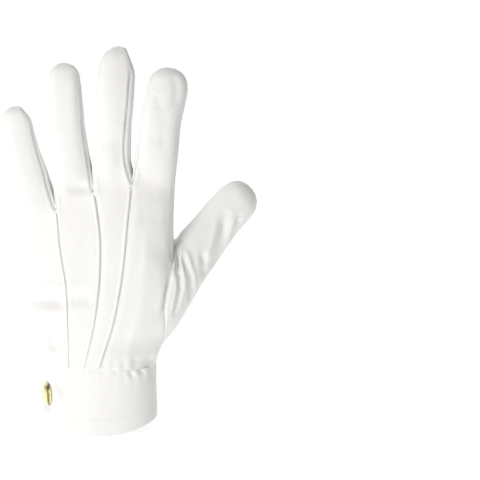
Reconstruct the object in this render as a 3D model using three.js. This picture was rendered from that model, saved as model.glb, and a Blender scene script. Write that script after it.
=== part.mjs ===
// A white dress glove for the left hand, filled out as if worn. Millimetres.
// +X points to the thumb side, -Y out of the back of the hand, +Z to the fingertips.
// The origin is the middle of the cuff's opening.
import * as THREE from 'three';

// Driving dimensions
const CLOTH = 1.0; // wall of the sewn cloth
const SEAM_GAP = 0.3; // gap kept between neighbouring pieces
const CUFF_TOP = 38.5; // height of the seam between cuff and hand
const HAND_EDGE = 0.93; // where back and palm turn into the sides, as a share of the half width
const FINGER_ROUND = 2.6; // exponent of the finger sections
// The raised points: their width and height, and the shares of the hand's height between which they run.
const POINT = { width: 1.7, height: 1.3, top: 0.96, bottom: 0.02 };
// The snap sits on the cuff at a hand column and a height. The cloth lies flat under it: within the seat
// radius it is level, a little below the round cuff, and it turns back to round over the fade. The seat
// faces more to the side than the round cuff does there, by its turn in degrees.
const SNAP = {
  column: 0.4, z: 20,
  radius: 7.5, rim: 1.0, bevel: 0.4, height: 3.4,
  backRadius: 5.5, backThick: 1.2,
  seat: 8.5, fade: 5, sink: 1.4, turn: 11,
};

// Mesh counts
const FINGER_COLUMNS = 5; // across the back or the front of one finger
const SIDE_COLUMNS = 4; // across one side
const HAND_ROWS = 12;
const SHAFT_ROWS = 9;
const CAP_ANGLES = [28, 52, 73]; // rings of a rounded tip, in degrees
const POINT_OUTLINE = [[-0.5, 0], [0.5, 0], [0.42, 0.6], [0, 1], [-0.42, 0.6]]; // of width and height
const CAP_SIDES = 24;
const DISC_SIDES = 16;
const DOME_STEP = 15; // degrees
const HAND_COLUMNS = 8 * FINGER_COLUMNS + 2 * SIDE_COLUMNS;
const BACK_END = 4 * FINGER_COLUMNS;
const PALM_START = BACK_END + SIDE_COLUMNS;
const PALM_END = PALM_START + 4 * FINGER_COLUMNS;

// Five lines up the hand, from the cuff seam to the finger crotches, each at five heights.
// The outer two are the edges of the outline and the inner three carry the raised points.
const HAND_LINES = [
  { line: 'little finger edge', x: [-37.4, -42, -47.4, -52.3, -55], z: [38.5, 62.9, 86.7, 110.3, 134] },
  { line: 'little point', x: [-18.7, -18.9, -19.8, -23.4, -25.7], z: [38.5, 66, 93, 118.2, 142.6] },
  { line: 'middle point', x: [-8.7, -1.5, 2.2, 2.5, -1.4], z: [38.5, 69.5, 99, 127.5, 154.5] },
  { line: 'index point', x: [1.1, 11.3, 17.2, 20.5, 23.4], z: [38.5, 70.5, 101, 131, 159.5] },
  { line: 'thumb edge', x: [36.8, 46.9, 49.8, 48.7, 49.9], z: [38.5, 67.9, 97, 125.8, 154.3] },
];
// At the same five heights: how far the back and the palm stand out from the middle plane, and the exponent
// of the section's superellipse. A higher exponent makes the back flatter.
const HAND_DEPTH = {
  back: [24.5, 24, 22.5, 20, 14.5],
  palm: [24.5, 26, 25, 19.5, 12.5],
  exponent: [2.4, 2.7, 2.9, 2.9, 2.6],
};

// Finger sections from the crotch upwards, in order from the little finger. The last row is the tip.
// The seam angles say how far the side strips reach towards the back, in degrees, at the crotch and at
// their upper end. The fullness is an exponent: below 1 the rounded tip is fuller than a ball.
const FINGERS = [
  {
    name: 'little', fullness: 1.15,
    ulnarSeam: { base: 38, top: 38 }, radialSeam: { base: 44, top: 20 },
    sections: [
      { x: -43.1, y: 2, z: 159.1, width: 24, depth: 20 },
      { x: -46.8, y: 4, z: 172, width: 22, depth: 18.5 },
      { x: -50, y: 6.5, z: 184.8, width: 20, depth: 17.5 },
      { x: -52.1, y: 9, z: 196.5, width: 18.6, depth: 16 },
      { x: -51.6, y: 11, z: 206.3, width: 0, depth: 0 },
    ],
  },
  {
    name: 'ring', fullness: 1.1,
    ulnarSeam: { base: 28, top: 22 }, radialSeam: { base: 32, top: 20 },
    sections: [
      { x: -17.2, y: 0, z: 172.5, width: 25.6, depth: 22 },
      { x: -19.7, y: 2, z: 191.7, width: 24.6, depth: 21 },
      { x: -20.6, y: 5, z: 210.7, width: 22.8, depth: 20 },
      { x: -20.8, y: 8, z: 223, width: 20.6, depth: 18 },
      { x: -20, y: 10.5, z: 234, width: 0, depth: 0 },
    ],
  },
  {
    name: 'middle', fullness: 1.2,
    ulnarSeam: { base: 28, top: 22 }, radialSeam: { base: 52, top: 44 },
    sections: [
      { x: 9.9, y: -2, z: 172.8, width: 24.6, depth: 22.5 },
      { x: 11.2, y: 0, z: 196, width: 23.4, depth: 21.5 },
      { x: 12.4, y: 2.5, z: 213, width: 24.2, depth: 20.5 },
      { x: 13.2, y: 6, z: 228.5, width: 23.6, depth: 18.5 },
      { x: 15.4, y: 9, z: 245, width: 0, depth: 0 },
    ],
  },
  {
    name: 'index', fullness: 0.9,
    ulnarSeam: { base: 36, top: 22 }, radialSeam: { base: 38, top: 38 },
    sections: [
      { x: 38.7, y: -2, z: 177, width: 27.2, depth: 23 },
      { x: 41.3, y: 0, z: 197, width: 26, depth: 22 },
      { x: 43.9, y: 2.5, z: 209.5, width: 26, depth: 21 },
      { x: 45.6, y: 4.5, z: 218, width: 26, depth: 19.5 },
      { x: 47.3, y: 7, z: 231, width: 0, depth: 0 },
    ],
  },
];
const STRIP_END = 9; // ring at which a side strip ends, counted from the crotch
const OPEN_SEAM = 40; // half angle of a side without a strip, where back and palm meet, in degrees
const OPEN_RINGS = 2; // rings above a strip over which the side opens to that angle
const TIP_TURN = 20; // above a strip the seam of the tip lies this far towards the back, in degrees
const BASE_BLEND = 26; // length over which the base loop turns into round finger sections
const CROTCH_RISE = 3; // between two fingers the cloth stands this much higher in the middle

// The thumb's oval hole, as rows and columns of the hand, and its sections outwards from there.
// Between the hole and the first section the thumb flares out to the hole. On the back the hole is
// narrower by its tuck, in columns.
const HOLE = { row0: 1, row1: 8, column0: BACK_END - 1, column1: PALM_START + 3, reach: 1.28, tuck: 0.7 };
const THUMB_FULLNESS = 0.9; // of its rounded tip, as for the fingers
const THUMB = [
  { x: 65.3, y: 12, z: 113.5, width: 31.5, depth: 29 },
  { x: 73, y: 15.5, z: 123, width: 29, depth: 27 },
  { x: 80.8, y: 18.5, z: 132.6, width: 28.2, depth: 26 },
  { x: 89.6, y: 20, z: 142, width: 27.4, depth: 24 },
  { x: 100.4, y: 20.5, z: 150.4, width: 0, depth: 0 },
];
const FLARE_ROWS = 7;
const FLARE_OUT = 12; // how strongly the flare first leaves the hand at right angles
const THUMB_ROWS = 4;
const BACK_FACING = 2; // folds are full where the cloth turns to the back by half a right angle or so

// Dents and folds seen from the back: a stroke from one end to the other, hollow where depth is positive.
const BACK_FOLDS = [
  { what: 'dent across the outer palm', x0: -44, z0: 80, x1: -21, z1: 84, width: 9, depth: 1.6 },
  { what: 'dent above the closure', x0: -38, z0: 68, x1: -27, z1: 51, width: 7, depth: 1.3 },
  { what: 'dent below the ring finger', x0: -14, z0: 152, x1: -7, z1: 155, width: 8, depth: 1.2 },
];
const THUMB_FOLDS = [
  { what: 'fold at the thumb joint', x0: 79, z0: 133, x1: 75, z1: 104, width: 5, depth: 1.7 },
  { what: 'second fold', x0: 66, z0: 112, x1: 69, z1: 92, width: 5, depth: 1.6 },
  { what: 'fold below the web', x0: 57, z0: 106, x1: 60, z1: 82, width: 5, depth: 1.6 },
  { what: 'fold beside the hole', x0: 52.5, z0: 104, x1: 50, z1: 74, width: 5, depth: 1.5 },
  { what: 'fold near the tip', x0: 89, z0: 128, x1: 84, z1: 117, width: 4.5, depth: 1.3 },
];

// Cuff: a band that runs once round and laps over itself on the little finger side.
const CUFF = {
  heights: [0, SNAP.z - SNAP.radius, SNAP.z, SNAP.z + SNAP.radius, 32.5, CUFF_TOP - SEAM_GAP / 2],
  over: -3, // hand column at which its outer end stops
  under: 50, // hand column under which its hidden end stops
  lift: 1.5, // how far the outer end stands off the hidden one
  outerRamp: { from: 2.4, to: 6 }, // hand columns over which the outer end sinks to the single band
  hiddenRamp: { from: 40, to: 44 }, // hand columns over which the single band sinks to the hidden end
  shift: 0.4, // the opening lies this far towards the thumb from the seam
  flare: 0.2, // the opening is this much wider each way than the seam
  hemMiddle: -4.5, // height of the hem's lowest places, on the back and on the palm
  hemSide: 3, // height of the hem at the two sides
};
// Gathers: waves along the seam between two hand columns, that fade out downwards.
const GATHER = { pitch: 6.6, height: 1.0, from: 14, to: 34, fade: 14, ends: 2, columnStep: 0.36 };
const COLUMN_NUDGE = 0.05; // step, in columns, that gives the direction round the hand

const UP = new THREE.Vector3(0, 0, 1);
const PALMWARD = new THREE.Vector3(0, 1, 0);
const clamp01 = (t) => Math.min(1, Math.max(0, t));
const lerp = (a, b, t) => a + (b - a) * t;
const smooth = (t) => clamp01(t) ** 2 * (3 - 2 * clamp01(t));
const radians = (degrees) => (degrees * Math.PI) / 180;
const power = (value, exponent) => Math.sign(value) * Math.abs(value) ** exponent;

// A smooth curve through values at given knots.
function splineAt(knots, values, t) {
  const last = knots.length - 1;
  let i = 0;
  while (i < last - 1 && t > knots[i + 1]) i += 1;
  const slope = (j) => {
    const a = Math.max(0, j - 1);
    const b = Math.min(last, j + 1);
    return (values[b] - values[a]) / (knots[b] - knots[a]);
  };
  const span = knots[i + 1] - knots[i];
  const s = (t - knots[i]) / span;
  const s2 = s * s;
  const s3 = s2 * s;
  return (2 * s3 - 3 * s2 + 1) * values[i] + (s3 - 2 * s2 + s) * span * slope(i)
    + (3 * s2 - 2 * s3) * values[i + 1] + (s3 - s2) * span * slope(i + 1);
}

const HEIGHTS = [0, 0.25, 0.5, 0.75, 1];
const LINE_KNOTS = [0, 1, 2, 3, 4];

// The hand's section at a share t of the way up: its middle, half width and half depths.
function handSection(t) {
  const left = splineAt(HEIGHTS, HAND_LINES[0].x, t);
  const right = splineAt(HEIGHTS, HAND_LINES[4].x, t);
  return {
    middle: (left + right) / 2,
    half: (right - left) / 2,
    back: splineAt(HEIGHTS, HAND_DEPTH.back, t),
    palm: splineAt(HEIGHTS, HAND_DEPTH.palm, t),
    exponent: splineAt(HEIGHTS, HAND_DEPTH.exponent, t),
    lines: HAND_LINES.map((l) => splineAt(HEIGHTS, l.x, t)),
    heights: HAND_LINES.map((l) => splineAt(HEIGHTS, l.z, t)),
  };
}

// A point of the hand's surface at a column round it and a share t of the way up.
function handPoint(column, t) {
  const s = handSection(t);
  const c = ((column % HAND_COLUMNS) + HAND_COLUMNS) % HAND_COLUMNS;
  const flat = (across, depth) => {
    const xs = [s.middle - HAND_EDGE * s.half, ...s.lines.slice(1, 4), s.middle + HAND_EDGE * s.half];
    const x = splineAt(LINE_KNOTS, xs, across);
    const r = Math.min(1, Math.abs((x - s.middle) / s.half));
    const y = depth * (1 - r ** s.exponent) ** (1 / s.exponent);
    return new THREE.Vector3(x, y, splineAt(LINE_KNOTS, s.heights, across));
  };
  const side = (turn, sign, z) => {
    const angle = Math.acos(HAND_EDGE ** (s.exponent / 2)) * turn;
    const depth = angle > 0 ? s.back : s.palm;
    const x = s.middle + sign * s.half * Math.cos(angle) ** (2 / s.exponent);
    return new THREE.Vector3(x, -depth * power(Math.sin(angle), 2 / s.exponent), z);
  };
  if (c <= BACK_END) return flat(c / FINGER_COLUMNS, -s.back);
  if (c < PALM_START) return side(1 - (2 * (c - BACK_END)) / SIDE_COLUMNS, 1, s.heights[4]);
  if (c <= PALM_END) return flat(4 - (c - PALM_START) / FINGER_COLUMNS, s.palm);
  return side((2 * (c - PALM_END)) / SIDE_COLUMNS - 1, -1, s.heights[0]);
}

// Columns and rows near the thumb are moved so that its rectangle of cells becomes an oval hole.
function aroundHole(column, row) {
  const halfColumns = (HOLE.column1 - HOLE.column0) / 2;
  const halfRows = (HOLE.row1 - HOLE.row0) / 2;
  const a = (column - HOLE.column0) / halfColumns - 1;
  const b = (row - HOLE.row0) / halfRows - 1;
  const out = Math.max(Math.abs(a), Math.abs(b));
  const length = Math.hypot(a, b) || 1;
  const keep = smooth((out - 1) / (HOLE.reach - 1));
  const across = halfColumns - (a < 0 ? HOLE.tuck * (1 - keep) : 0);
  return {
    column: HOLE.column0 + halfColumns + lerp((a / length) * out, a, keep) * across,
    row: HOLE.row0 + (1 + lerp((b / length) * out, b, keep)) * halfRows,
  };
}

// The whole glove above the cuff is one net of cells; each cell belongs to one piece of cloth.
const points = [];
const cells = [];
const addPoint = (p) => points.push(p.clone()) - 1;
const addCell = (piece, corners) => cells.push({ piece, corners });

// Hand
const handGrid = [];
for (let row = 0; row <= HAND_ROWS; row += 1) {
  const ids = [];
  for (let column = 0; column < HAND_COLUMNS; column += 1) {
    const moved = aroundHole(column, row);
    ids.push(addPoint(handPoint(moved.column, moved.row / HAND_ROWS)));
  }
  handGrid.push(ids);
}
const handId = (row, column) => handGrid[row][((column % HAND_COLUMNS) + HAND_COLUMNS) % HAND_COLUMNS];
const inHole = (row, column) => row >= HOLE.row0 && row < HOLE.row1
  && column >= HOLE.column0 && column < HOLE.column1;
const isBack = (column) => column < BACK_END + SIDE_COLUMNS / 2 || column >= PALM_END + SIDE_COLUMNS / 2;
for (let row = 0; row < HAND_ROWS; row += 1) {
  for (let column = 0; column < HAND_COLUMNS; column += 1) {
    if (!inHole(row, column)) {
      const corners = [[row, column], [row, column + 1], [row + 1, column + 1], [row + 1, column]];
      addCell(isBack(column) ? 'back_panel' : 'palm_panel', corners.map(([r, c]) => handId(r, c)));
    }
  }
}

// Crotches: an arc of points from back to palm between two fingers.
const palmColumn = (line) => PALM_START + (4 - line) * FINGER_COLUMNS;
const crotches = [1, 2, 3].map((line) => {
  const back = handId(HAND_ROWS, line * FINGER_COLUMNS);
  const palm = handId(HAND_ROWS, palmColumn(line));
  const inner = [];
  for (let k = 1; k < SIDE_COLUMNS; k += 1) {
    const rise = CROTCH_RISE * Math.sin((Math.PI * k) / SIDE_COLUMNS);
    inner.push(addPoint(points[back].clone().lerp(points[palm], k / SIDE_COLUMNS).addScaledVector(UP, rise)));
  }
  return [back, ...inner, palm];
});
function range(from, to) {
  const step = Math.sign(to - from);
  return Array.from({ length: Math.abs(to - from) + 1 }, (_, k) => from + step * k);
}
const topIds = (from, to) => range(from, to).map((column) => handId(HAND_ROWS, column));

// The closed loop that finger f grows from: back, thumb side, palm, little finger side.
function baseLoop(f) {
  const back = topIds(f * FINGER_COLUMNS, (f + 1) * FINGER_COLUMNS);
  const radial = f === 3 ? topIds(BACK_END, PALM_START) : crotches[f];
  const palm = topIds(palmColumn(f + 1), palmColumn(f));
  const ulnar = f === 0 ? topIds(PALM_END, HAND_COLUMNS) : crotches[f - 1].slice().reverse();
  return [back, radial, palm, ulnar].flatMap((ids) => ids.slice(0, -1));
}

// The middle line of a finger or thumb, with its sections, as a function of the length along it.
function limb(start, sections) {
  const spots = [start, ...sections.map((s) => new THREE.Vector3(s.x, s.y, s.z))];
  const knots = [0];
  for (let i = 1; i < spots.length; i += 1) knots.push(knots[i - 1] + spots[i].distanceTo(spots[i - 1]));
  const along = (key, t) => splineAt(knots, spots.map((p) => p[key]), t);
  const centre = (t) => new THREE.Vector3(along('x', t), along('y', t), along('z', t));
  const sizes = sections.slice(0, -1);
  const sizeKnots = [0, ...knots.slice(1, -1)];
  const sized = (key, t) => splineAt(sizeKnots, [sizes[0][key], ...sizes.map((s) => s[key])], t);
  const capStart = knots[knots.length - 2];
  const total = knots[knots.length - 1];
  const reach = 0.5; // millimetres each way along the line
  const direction = (t) => {
    const ahead = centre(Math.min(total, t + reach));
    return ahead.sub(centre(Math.max(0, t - reach))).normalize();
  };
  return { centre, direction, sized, capStart, total, firstSection: knots[1] };
}

// Lengths along a limb of its rings, and how much each is narrowed by the rounded tip.
function ringStops(line, shaftRows, fullness, from = 0) {
  const stops = [];
  for (let j = 0; j <= shaftRows; j += 1) {
    stops.push({ at: lerp(from, line.capStart, j / shaftRows), narrow: 1 });
  }
  CAP_ANGLES.forEach((angle) => {
    const at = line.capStart + (line.total - line.capStart) * Math.sin(radians(angle));
    stops.push({ at, narrow: Math.cos(radians(angle)) ** fullness });
  });
  return stops;
}

// Angles round a finger ring, in the order of the base loop, for the seam angles of that ring.
// The turn moves the middle of the thumb side towards the back.
function ringAngles(radial, ulnar, turn) {
  const angles = [];
  const spread = (from, to, count) => {
    for (let k = 0; k < count; k += 1) angles.push(lerp(from, to, k / count));
  };
  spread(180 - ulnar, turn + radial, FINGER_COLUMNS);
  spread(turn + radial, turn - radial, SIDE_COLUMNS);
  spread(turn - radial, ulnar - 180, FINGER_COLUMNS);
  spread(ulnar - 180, -180 - ulnar, SIDE_COLUMNS);
  return angles.map(radians);
}

// The seam angle at a ring: beside a strip from its base to its top, and above it the side opens again.
function seamAngle(seam, ring, hasStrip) {
  if (!hasStrip) return lerp(seam.base, OPEN_SEAM, smooth(ring / STRIP_END));
  if (ring <= STRIP_END) return lerp(seam.base, seam.top, ring / STRIP_END);
  return lerp(seam.top, OPEN_SEAM, smooth((ring - STRIP_END) / OPEN_RINGS));
}

// Which piece the cell at this place of a finger belongs to.
function fingerPiece(f, ring, k) {
  const radialStart = FINGER_COLUMNS;
  const palmStart = radialStart + SIDE_COLUMNS;
  const ulnarStart = palmStart + FINGER_COLUMNS;
  const names = FINGERS.map((finger) => finger.name);
  if (k < radialStart) return 'back_panel';
  if (k < palmStart) {
    if (f < 3 && ring < STRIP_END) return `fourchette_${names[f]}_${names[f + 1]}`;
    return k < radialStart + SIDE_COLUMNS / 2 ? 'back_panel' : 'palm_panel';
  }
  if (k < ulnarStart) return 'palm_panel';
  if (f > 0 && ring < STRIP_END) return `fourchette_${names[f - 1]}_${names[f]}`;
  return k < ulnarStart + SIDE_COLUMNS / 2 ? 'palm_panel' : 'back_panel';
}

function centroid(ids) {
  const sum = new THREE.Vector3();
  ids.forEach((id) => sum.add(points[id]));
  return sum.divideScalar(ids.length);
}

// Fingers
FINGERS.forEach((finger, f) => {
  const loop = baseLoop(f);
  const start = centroid(loop);
  const line = limb(start, finger.sections);
  const stops = ringStops(line, SHAFT_ROWS, finger.fullness);
  let lower = loop;
  stops.forEach((stop, ring) => {
    if (ring === 0) return;
    const centre = line.centre(stop.at);
    const along = line.direction(stop.at);
    const across = new THREE.Vector3(1, 0, 0).addScaledVector(along, -along.x).normalize();
    const palmward = new THREE.Vector3().crossVectors(along, across);
    const width = line.sized('width', Math.min(stop.at, line.capStart)) * stop.narrow;
    const depth = line.sized('depth', Math.min(stop.at, line.capStart)) * stop.narrow;
    const blend = 1 - (1 - clamp01(stop.at / BASE_BLEND)) ** 2;
    const turn = f < 3 ? TIP_TURN * smooth(ring - STRIP_END) : 0;
    const angles = ringAngles(
      seamAngle(finger.radialSeam, ring, f < 3), seamAngle(finger.ulnarSeam, ring, f > 0), turn);
    const upper = angles.map((angle, k) => {
      const round = centre.clone()
        .addScaledVector(across, (width / 2) * power(Math.cos(angle), 2 / FINGER_ROUND))
        .addScaledVector(palmward, (-depth / 2) * power(Math.sin(angle), 2 / FINGER_ROUND));
      const straight = points[loop[k]].clone().sub(start).add(centre);
      return addPoint(straight.lerp(round, blend));
    });
    lower.forEach((id, k) => {
      const next = (k + 1) % lower.length;
      addCell(fingerPiece(f, ring - 1, k), [id, lower[next], upper[next], upper[k]]);
    });
    lower = upper;
  });
  const tip = addPoint(line.centre(line.total));
  lower.forEach((id, k) => {
    addCell(fingerPiece(f, stops.length, k), [id, lower[(k + 1) % lower.length], tip]);
  });
});

// Thumb
const holeIds = [
  ...range(HOLE.column0, HOLE.column1 - 1).map((column) => handId(HOLE.row0, column)),
  ...range(HOLE.row0, HOLE.row1 - 1).map((row) => handId(row, HOLE.column1)),
  ...range(HOLE.column1, HOLE.column0 + 1).map((column) => handId(HOLE.row1, column)),
  ...range(HOLE.row1, HOLE.row0 + 1).map((row) => handId(row, HOLE.column0)),
];
const holeAngles = [
  ...range(HOLE.column0, HOLE.column1 - 1).map((column) => [column, HOLE.row0]),
  ...range(HOLE.row0, HOLE.row1 - 1).map((row) => [HOLE.column1, row]),
  ...range(HOLE.column1, HOLE.column0 + 1).map((column) => [column, HOLE.row1]),
  ...range(HOLE.row1, HOLE.row0 + 1).map((row) => [HOLE.column0, row]),
].map(([column, row]) => Math.atan2(
  (2 * (row - HOLE.row0)) / (HOLE.row1 - HOLE.row0) - 1,
  (2 * (column - HOLE.column0)) / (HOLE.column1 - HOLE.column0) - 1,
));
const thumbLine = limb(centroid(holeIds), THUMB);

// A ring of the thumb's round part, with its points in the order of the hole's.
function thumbRing(stop) {
  const centre = thumbLine.centre(stop.at);
  const along = thumbLine.direction(stop.at);
  const palmward = PALMWARD.clone().addScaledVector(along, -along.y).normalize();
  const inward = new THREE.Vector3().crossVectors(along, palmward);
  const width = thumbLine.sized('width', Math.min(stop.at, thumbLine.capStart)) * stop.narrow;
  const depth = thumbLine.sized('depth', Math.min(stop.at, thumbLine.capStart)) * stop.narrow;
  return holeAngles.map((angle) => centre.clone()
    .addScaledVector(palmward, (depth / 2) * Math.cos(angle))
    .addScaledVector(inward, (width / 2) * Math.sin(angle)));
}

// A point of the flared part: it leaves the hole outwards and joins the first ring along the thumb.
function flarePoint(hole, out, ring, share) {
  const way = new THREE.Vector3().subVectors(ring, hole);
  const end = thumbLine.direction(thumbLine.firstSection).multiplyScalar(way.length());
  const s2 = share * share;
  const s3 = s2 * share;
  return hole.clone().multiplyScalar(2 * s3 - 3 * s2 + 1)
    .addScaledVector(way.addScaledVector(out, FLARE_OUT), s3 - 2 * s2 + share)
    .addScaledVector(ring, 3 * s2 - 2 * s3)
    .addScaledVector(end, s3 - s2);
}

const firstRing = thumbRing({ at: thumbLine.firstSection, narrow: 1 });
const handNormals = pointNormals();
const thumbRings = range(1, FLARE_ROWS - 1).map((j) => firstRing.map(
  (place, k) => flarePoint(points[holeIds[k]], handNormals[holeIds[k]], place, j / FLARE_ROWS)));
const thumbStops = ringStops(thumbLine, THUMB_ROWS, THUMB_FULLNESS, thumbLine.firstSection);
thumbRings.push(...thumbStops.map(thumbRing));
let thumbLower = holeIds;
thumbRings.forEach((ring) => {
  const upper = ring.map(addPoint);
  thumbLower.forEach((id, k) => {
    const next = (k + 1) % thumbLower.length;
    addCell('thumb', [id, thumbLower[next], upper[next], upper[k]]);
  });
  thumbLower = upper;
});
const thumbTip = addPoint(thumbLine.centre(thumbLine.total));
thumbLower.forEach((id, k) => {
  addCell('thumb', [id, thumbLower[(k + 1) % thumbLower.length], thumbTip]);
});

// Outward directions at every point of the net: each cell counts by its angle at the point.
function pointNormals() {
  const sums = points.map(() => new THREE.Vector3());
  cells.forEach(({ corners }) => {
    corners.forEach((id, k) => {
      const ahead = points[corners[(k + 1) % corners.length]].clone().sub(points[id]);
      const behind = points[corners[(k + corners.length - 1) % corners.length]].clone().sub(points[id]);
      const angle = ahead.angleTo(behind);
      sums[id].addScaledVector(ahead.cross(behind).normalize(), angle);
    });
  });
  return sums.map((n) => n.normalize());
}

// How far a stroke of a fold pushes in the cloth at x, z.
function strokeDepth(fold, x, z) {
  const dx = fold.x1 - fold.x0;
  const dz = fold.z1 - fold.z0;
  const length = Math.hypot(dx, dz);
  const s = clamp01(((x - fold.x0) * dx + (z - fold.z0) * dz) / length ** 2);
  const away = Math.hypot(x - fold.x0 - s * dx, z - fold.z0 - s * dz);
  return fold.depth * Math.exp(-((away / (fold.width / 2)) ** 2));
}

// Dents and folds are pressed into the net on the side that faces the back.
const thumbIds = new Set(cells.filter((c) => c.piece === 'thumb').flatMap((c) => c.corners));
pointNormals().forEach((normal, id) => {
  const folds = thumbIds.has(id) ? THUMB_FOLDS : BACK_FOLDS;
  const facing = smooth(-normal.y * BACK_FACING);
  const depth = folds.reduce((sum, fold) => sum + strokeDepth(fold, points[id].x, points[id].z), 0);
  points[id].addScaledVector(normal, -depth * facing);
});
const normals = pointNormals();
crotches.forEach((arc) => {
  arc.slice(1, -1).forEach((id) => normals[id].copy(UP));
  [arc[0], arc[arc.length - 1]].forEach((id) => normals[id].add(UP).normalize());
});

// A closed wall from polygons of outer points and their inner copies. Two pieces that meet at a seam
// split the narrow face between outer and inner edge along the same diagonal.
function closedShell(polygons, outer, inner) {
  const shell = new THREE.BufferGeometry();
  const ids = [...outer.keys()];
  const place = new Map(ids.map((id, k) => [id, k]));
  const flat = [];
  ids.forEach((id) => flat.push(...outer.get(id).toArray()));
  ids.forEach((id) => flat.push(...inner.get(id).toArray()));
  const index = [];
  const directed = new Set();
  polygons.forEach((corners) => {
    const at = corners.map((id) => place.get(id));
    const where = corners.map((id) => outer.get(id));
    const flip = at.length === 4 && where[1].distanceTo(where[3]) < where[0].distanceTo(where[2]);
    const order = flip ? [1, 2, 3, 0] : [0, 1, 2, 3];
    const triangles = at.length === 3 ? [[0, 1, 2]]
      : [[order[0], order[1], order[2]], [order[0], order[2], order[3]]];
    triangles.forEach(([a, b, c]) => {
      index.push(at[a], at[b], at[c]);
      index.push(at[a] + ids.length, at[c] + ids.length, at[b] + ids.length);
    });
    corners.forEach((a, k) => directed.add(`${a}_${corners[(k + 1) % corners.length]}`));
  });
  directed.forEach((edge) => {
    const [from, to] = edge.split('_').map(Number);
    if (directed.has(`${to}_${from}`)) return;
    const [a, b] = [place.get(from), place.get(to)];
    const [a2, b2] = [a + ids.length, b + ids.length];
    if (from < to) index.push(b, a, a2, b, a2, b2);
    else index.push(b, a, b2, a, a2, b2);
  });
  shell.setAttribute('position', new THREE.Float32BufferAttribute(flat, 3));
  shell.setIndex(index);
  return shell;
}

const OPPOSED = 0.2; // below this length the pulls of two border edges cancel out
const CORNER_LIMIT = 0.35; // keeps a sharp corner from being pulled in too far

// One piece of cloth: its cells, drawn back from the seams by half the gap and given the wall.
function clothPiece(piece) {
  const polygons = cells.filter((c) => c.piece === piece).map((c) => c.corners);
  const edges = new Map();
  const insides = new Map();
  polygons.forEach((corners) => {
    const middle = centroid(corners);
    corners.forEach((a, k) => {
      edges.set(`${a}_${corners[(k + 1) % corners.length]}`, middle);
      insides.set(a, (insides.get(a) || new THREE.Vector3()).add(middle).sub(points[a]));
    });
  });
  const pulls = new Map();
  edges.forEach((middle, edge) => {
    const [a, b] = edge.split('_').map(Number);
    if (edges.has(`${b}_${a}`)) return;
    const along = new THREE.Vector3().subVectors(points[b], points[a]).normalize();
    const pull = new THREE.Vector3().subVectors(middle, points[a]);
    pull.addScaledVector(along, -pull.dot(along)).normalize();
    [a, b].forEach((id) => pulls.set(id, [...(pulls.get(id) || []), pull]));
  });
  const outer = new Map();
  const inner = new Map();
  insides.forEach((inside, id) => {
    const place = points[id].clone();
    if (pulls.has(id)) {
      const sum = pulls.get(id).reduce((total, pull) => total.add(pull), new THREE.Vector3());
      if (sum.length() < OPPOSED) sum.copy(inside);
      sum.addScaledVector(normals[id], -sum.dot(normals[id])).normalize();
      const reach = Math.max(CORNER_LIMIT, sum.dot(pulls.get(id)[0]));
      place.addScaledVector(sum, SEAM_GAP / 2 / reach);
    }
    outer.set(id, place);
    inner.set(id, place.clone().addScaledVector(normals[id], -CLOTH));
  });
  return closedShell(polygons, outer, inner);
}

// A raised point: a stitched pleat that runs down the back along one line of the net.
function raisedPoint(line) {
  const column = line * FINGER_COLUMNS;
  const places = [];
  const stations = [POINT.bottom * HAND_ROWS, ...range(1, HAND_ROWS - 1), POINT.top * HAND_ROWS];
  stations.forEach((row) => {
    const low = Math.min(HAND_ROWS - 1, Math.floor(row));
    const share = row - low;
    const a = handId(low, column);
    const b = handId(low + 1, column);
    const place = points[a].clone().lerp(points[b], share);
    const out = normals[a].clone().lerp(normals[b], share).normalize();
    const along = new THREE.Vector3().subVectors(points[b], points[a]).normalize();
    const side = new THREE.Vector3().crossVectors(along, out).normalize();
    places.push({ place, out, side });
  });
  const flat = [];
  places.forEach(({ place, out, side }) => {
    POINT_OUTLINE.forEach(([across, up]) => {
      flat.push(...place.clone().addScaledVector(side, across * POINT.width)
        .addScaledVector(out, SEAM_GAP + up * POINT.height).toArray());
    });
  });
  const index = [];
  const n = POINT_OUTLINE.length;
  for (let j = 0; j < places.length - 1; j += 1) {
    for (let k = 0; k < n; k += 1) {
      const a = j * n + k;
      const b = j * n + ((k + 1) % n);
      index.push(a, b + n, b, a, a + n, b + n);
    }
  }
  const end = (places.length - 1) * n;
  for (let k = 1; k < n - 1; k += 1) {
    index.push(0, k, k + 1);
    index.push(end, end + k + 1, end + k);
  }
  const rib = new THREE.BufferGeometry();
  rib.setAttribute('position', new THREE.Float32BufferAttribute(flat, 3));
  rib.setIndex(index);
  return rib;
}

// How far along the cuff seam a hand column lies, from the middle of the back.
const seamLengths = [0];
const SEAM_STEPS = 4; // samples for each hand column
for (let k = 1; k <= HAND_COLUMNS * SEAM_STEPS; k += 1) {
  const step = handPoint(k / SEAM_STEPS, 0).distanceTo(handPoint((k - 1) / SEAM_STEPS, 0));
  seamLengths.push(seamLengths[k - 1] + step);
}
function seamLength(column) {
  const k = Math.floor(column * SEAM_STEPS);
  return lerp(seamLengths[k], seamLengths[k + 1], column * SEAM_STEPS - k);
}

// The direction that points straight out of the cuff at a hand column, given the curve round it.
function outFrom(curve, column) {
  const side = curve(column + COLUMN_NUDGE).sub(curve(column - COLUMN_NUDGE));
  return side.cross(UP).normalize();
}

// How much of a gather's wave stands at a hand column and a height above the hem.
function gatherWave(column, height) {
  if (column <= GATHER.from || column >= GATHER.to) return 0;
  const turn = (Math.PI * (column - GATHER.from)) / (GATHER.to - GATHER.from);
  const share = Math.min(1, Math.sin(turn) * GATHER.ends);
  const fade = smooth(1 - (CUFF_TOP - height) / GATHER.fade);
  return share * fade * Math.cos((2 * Math.PI * seamLength(column)) / GATHER.pitch);
}

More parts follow.
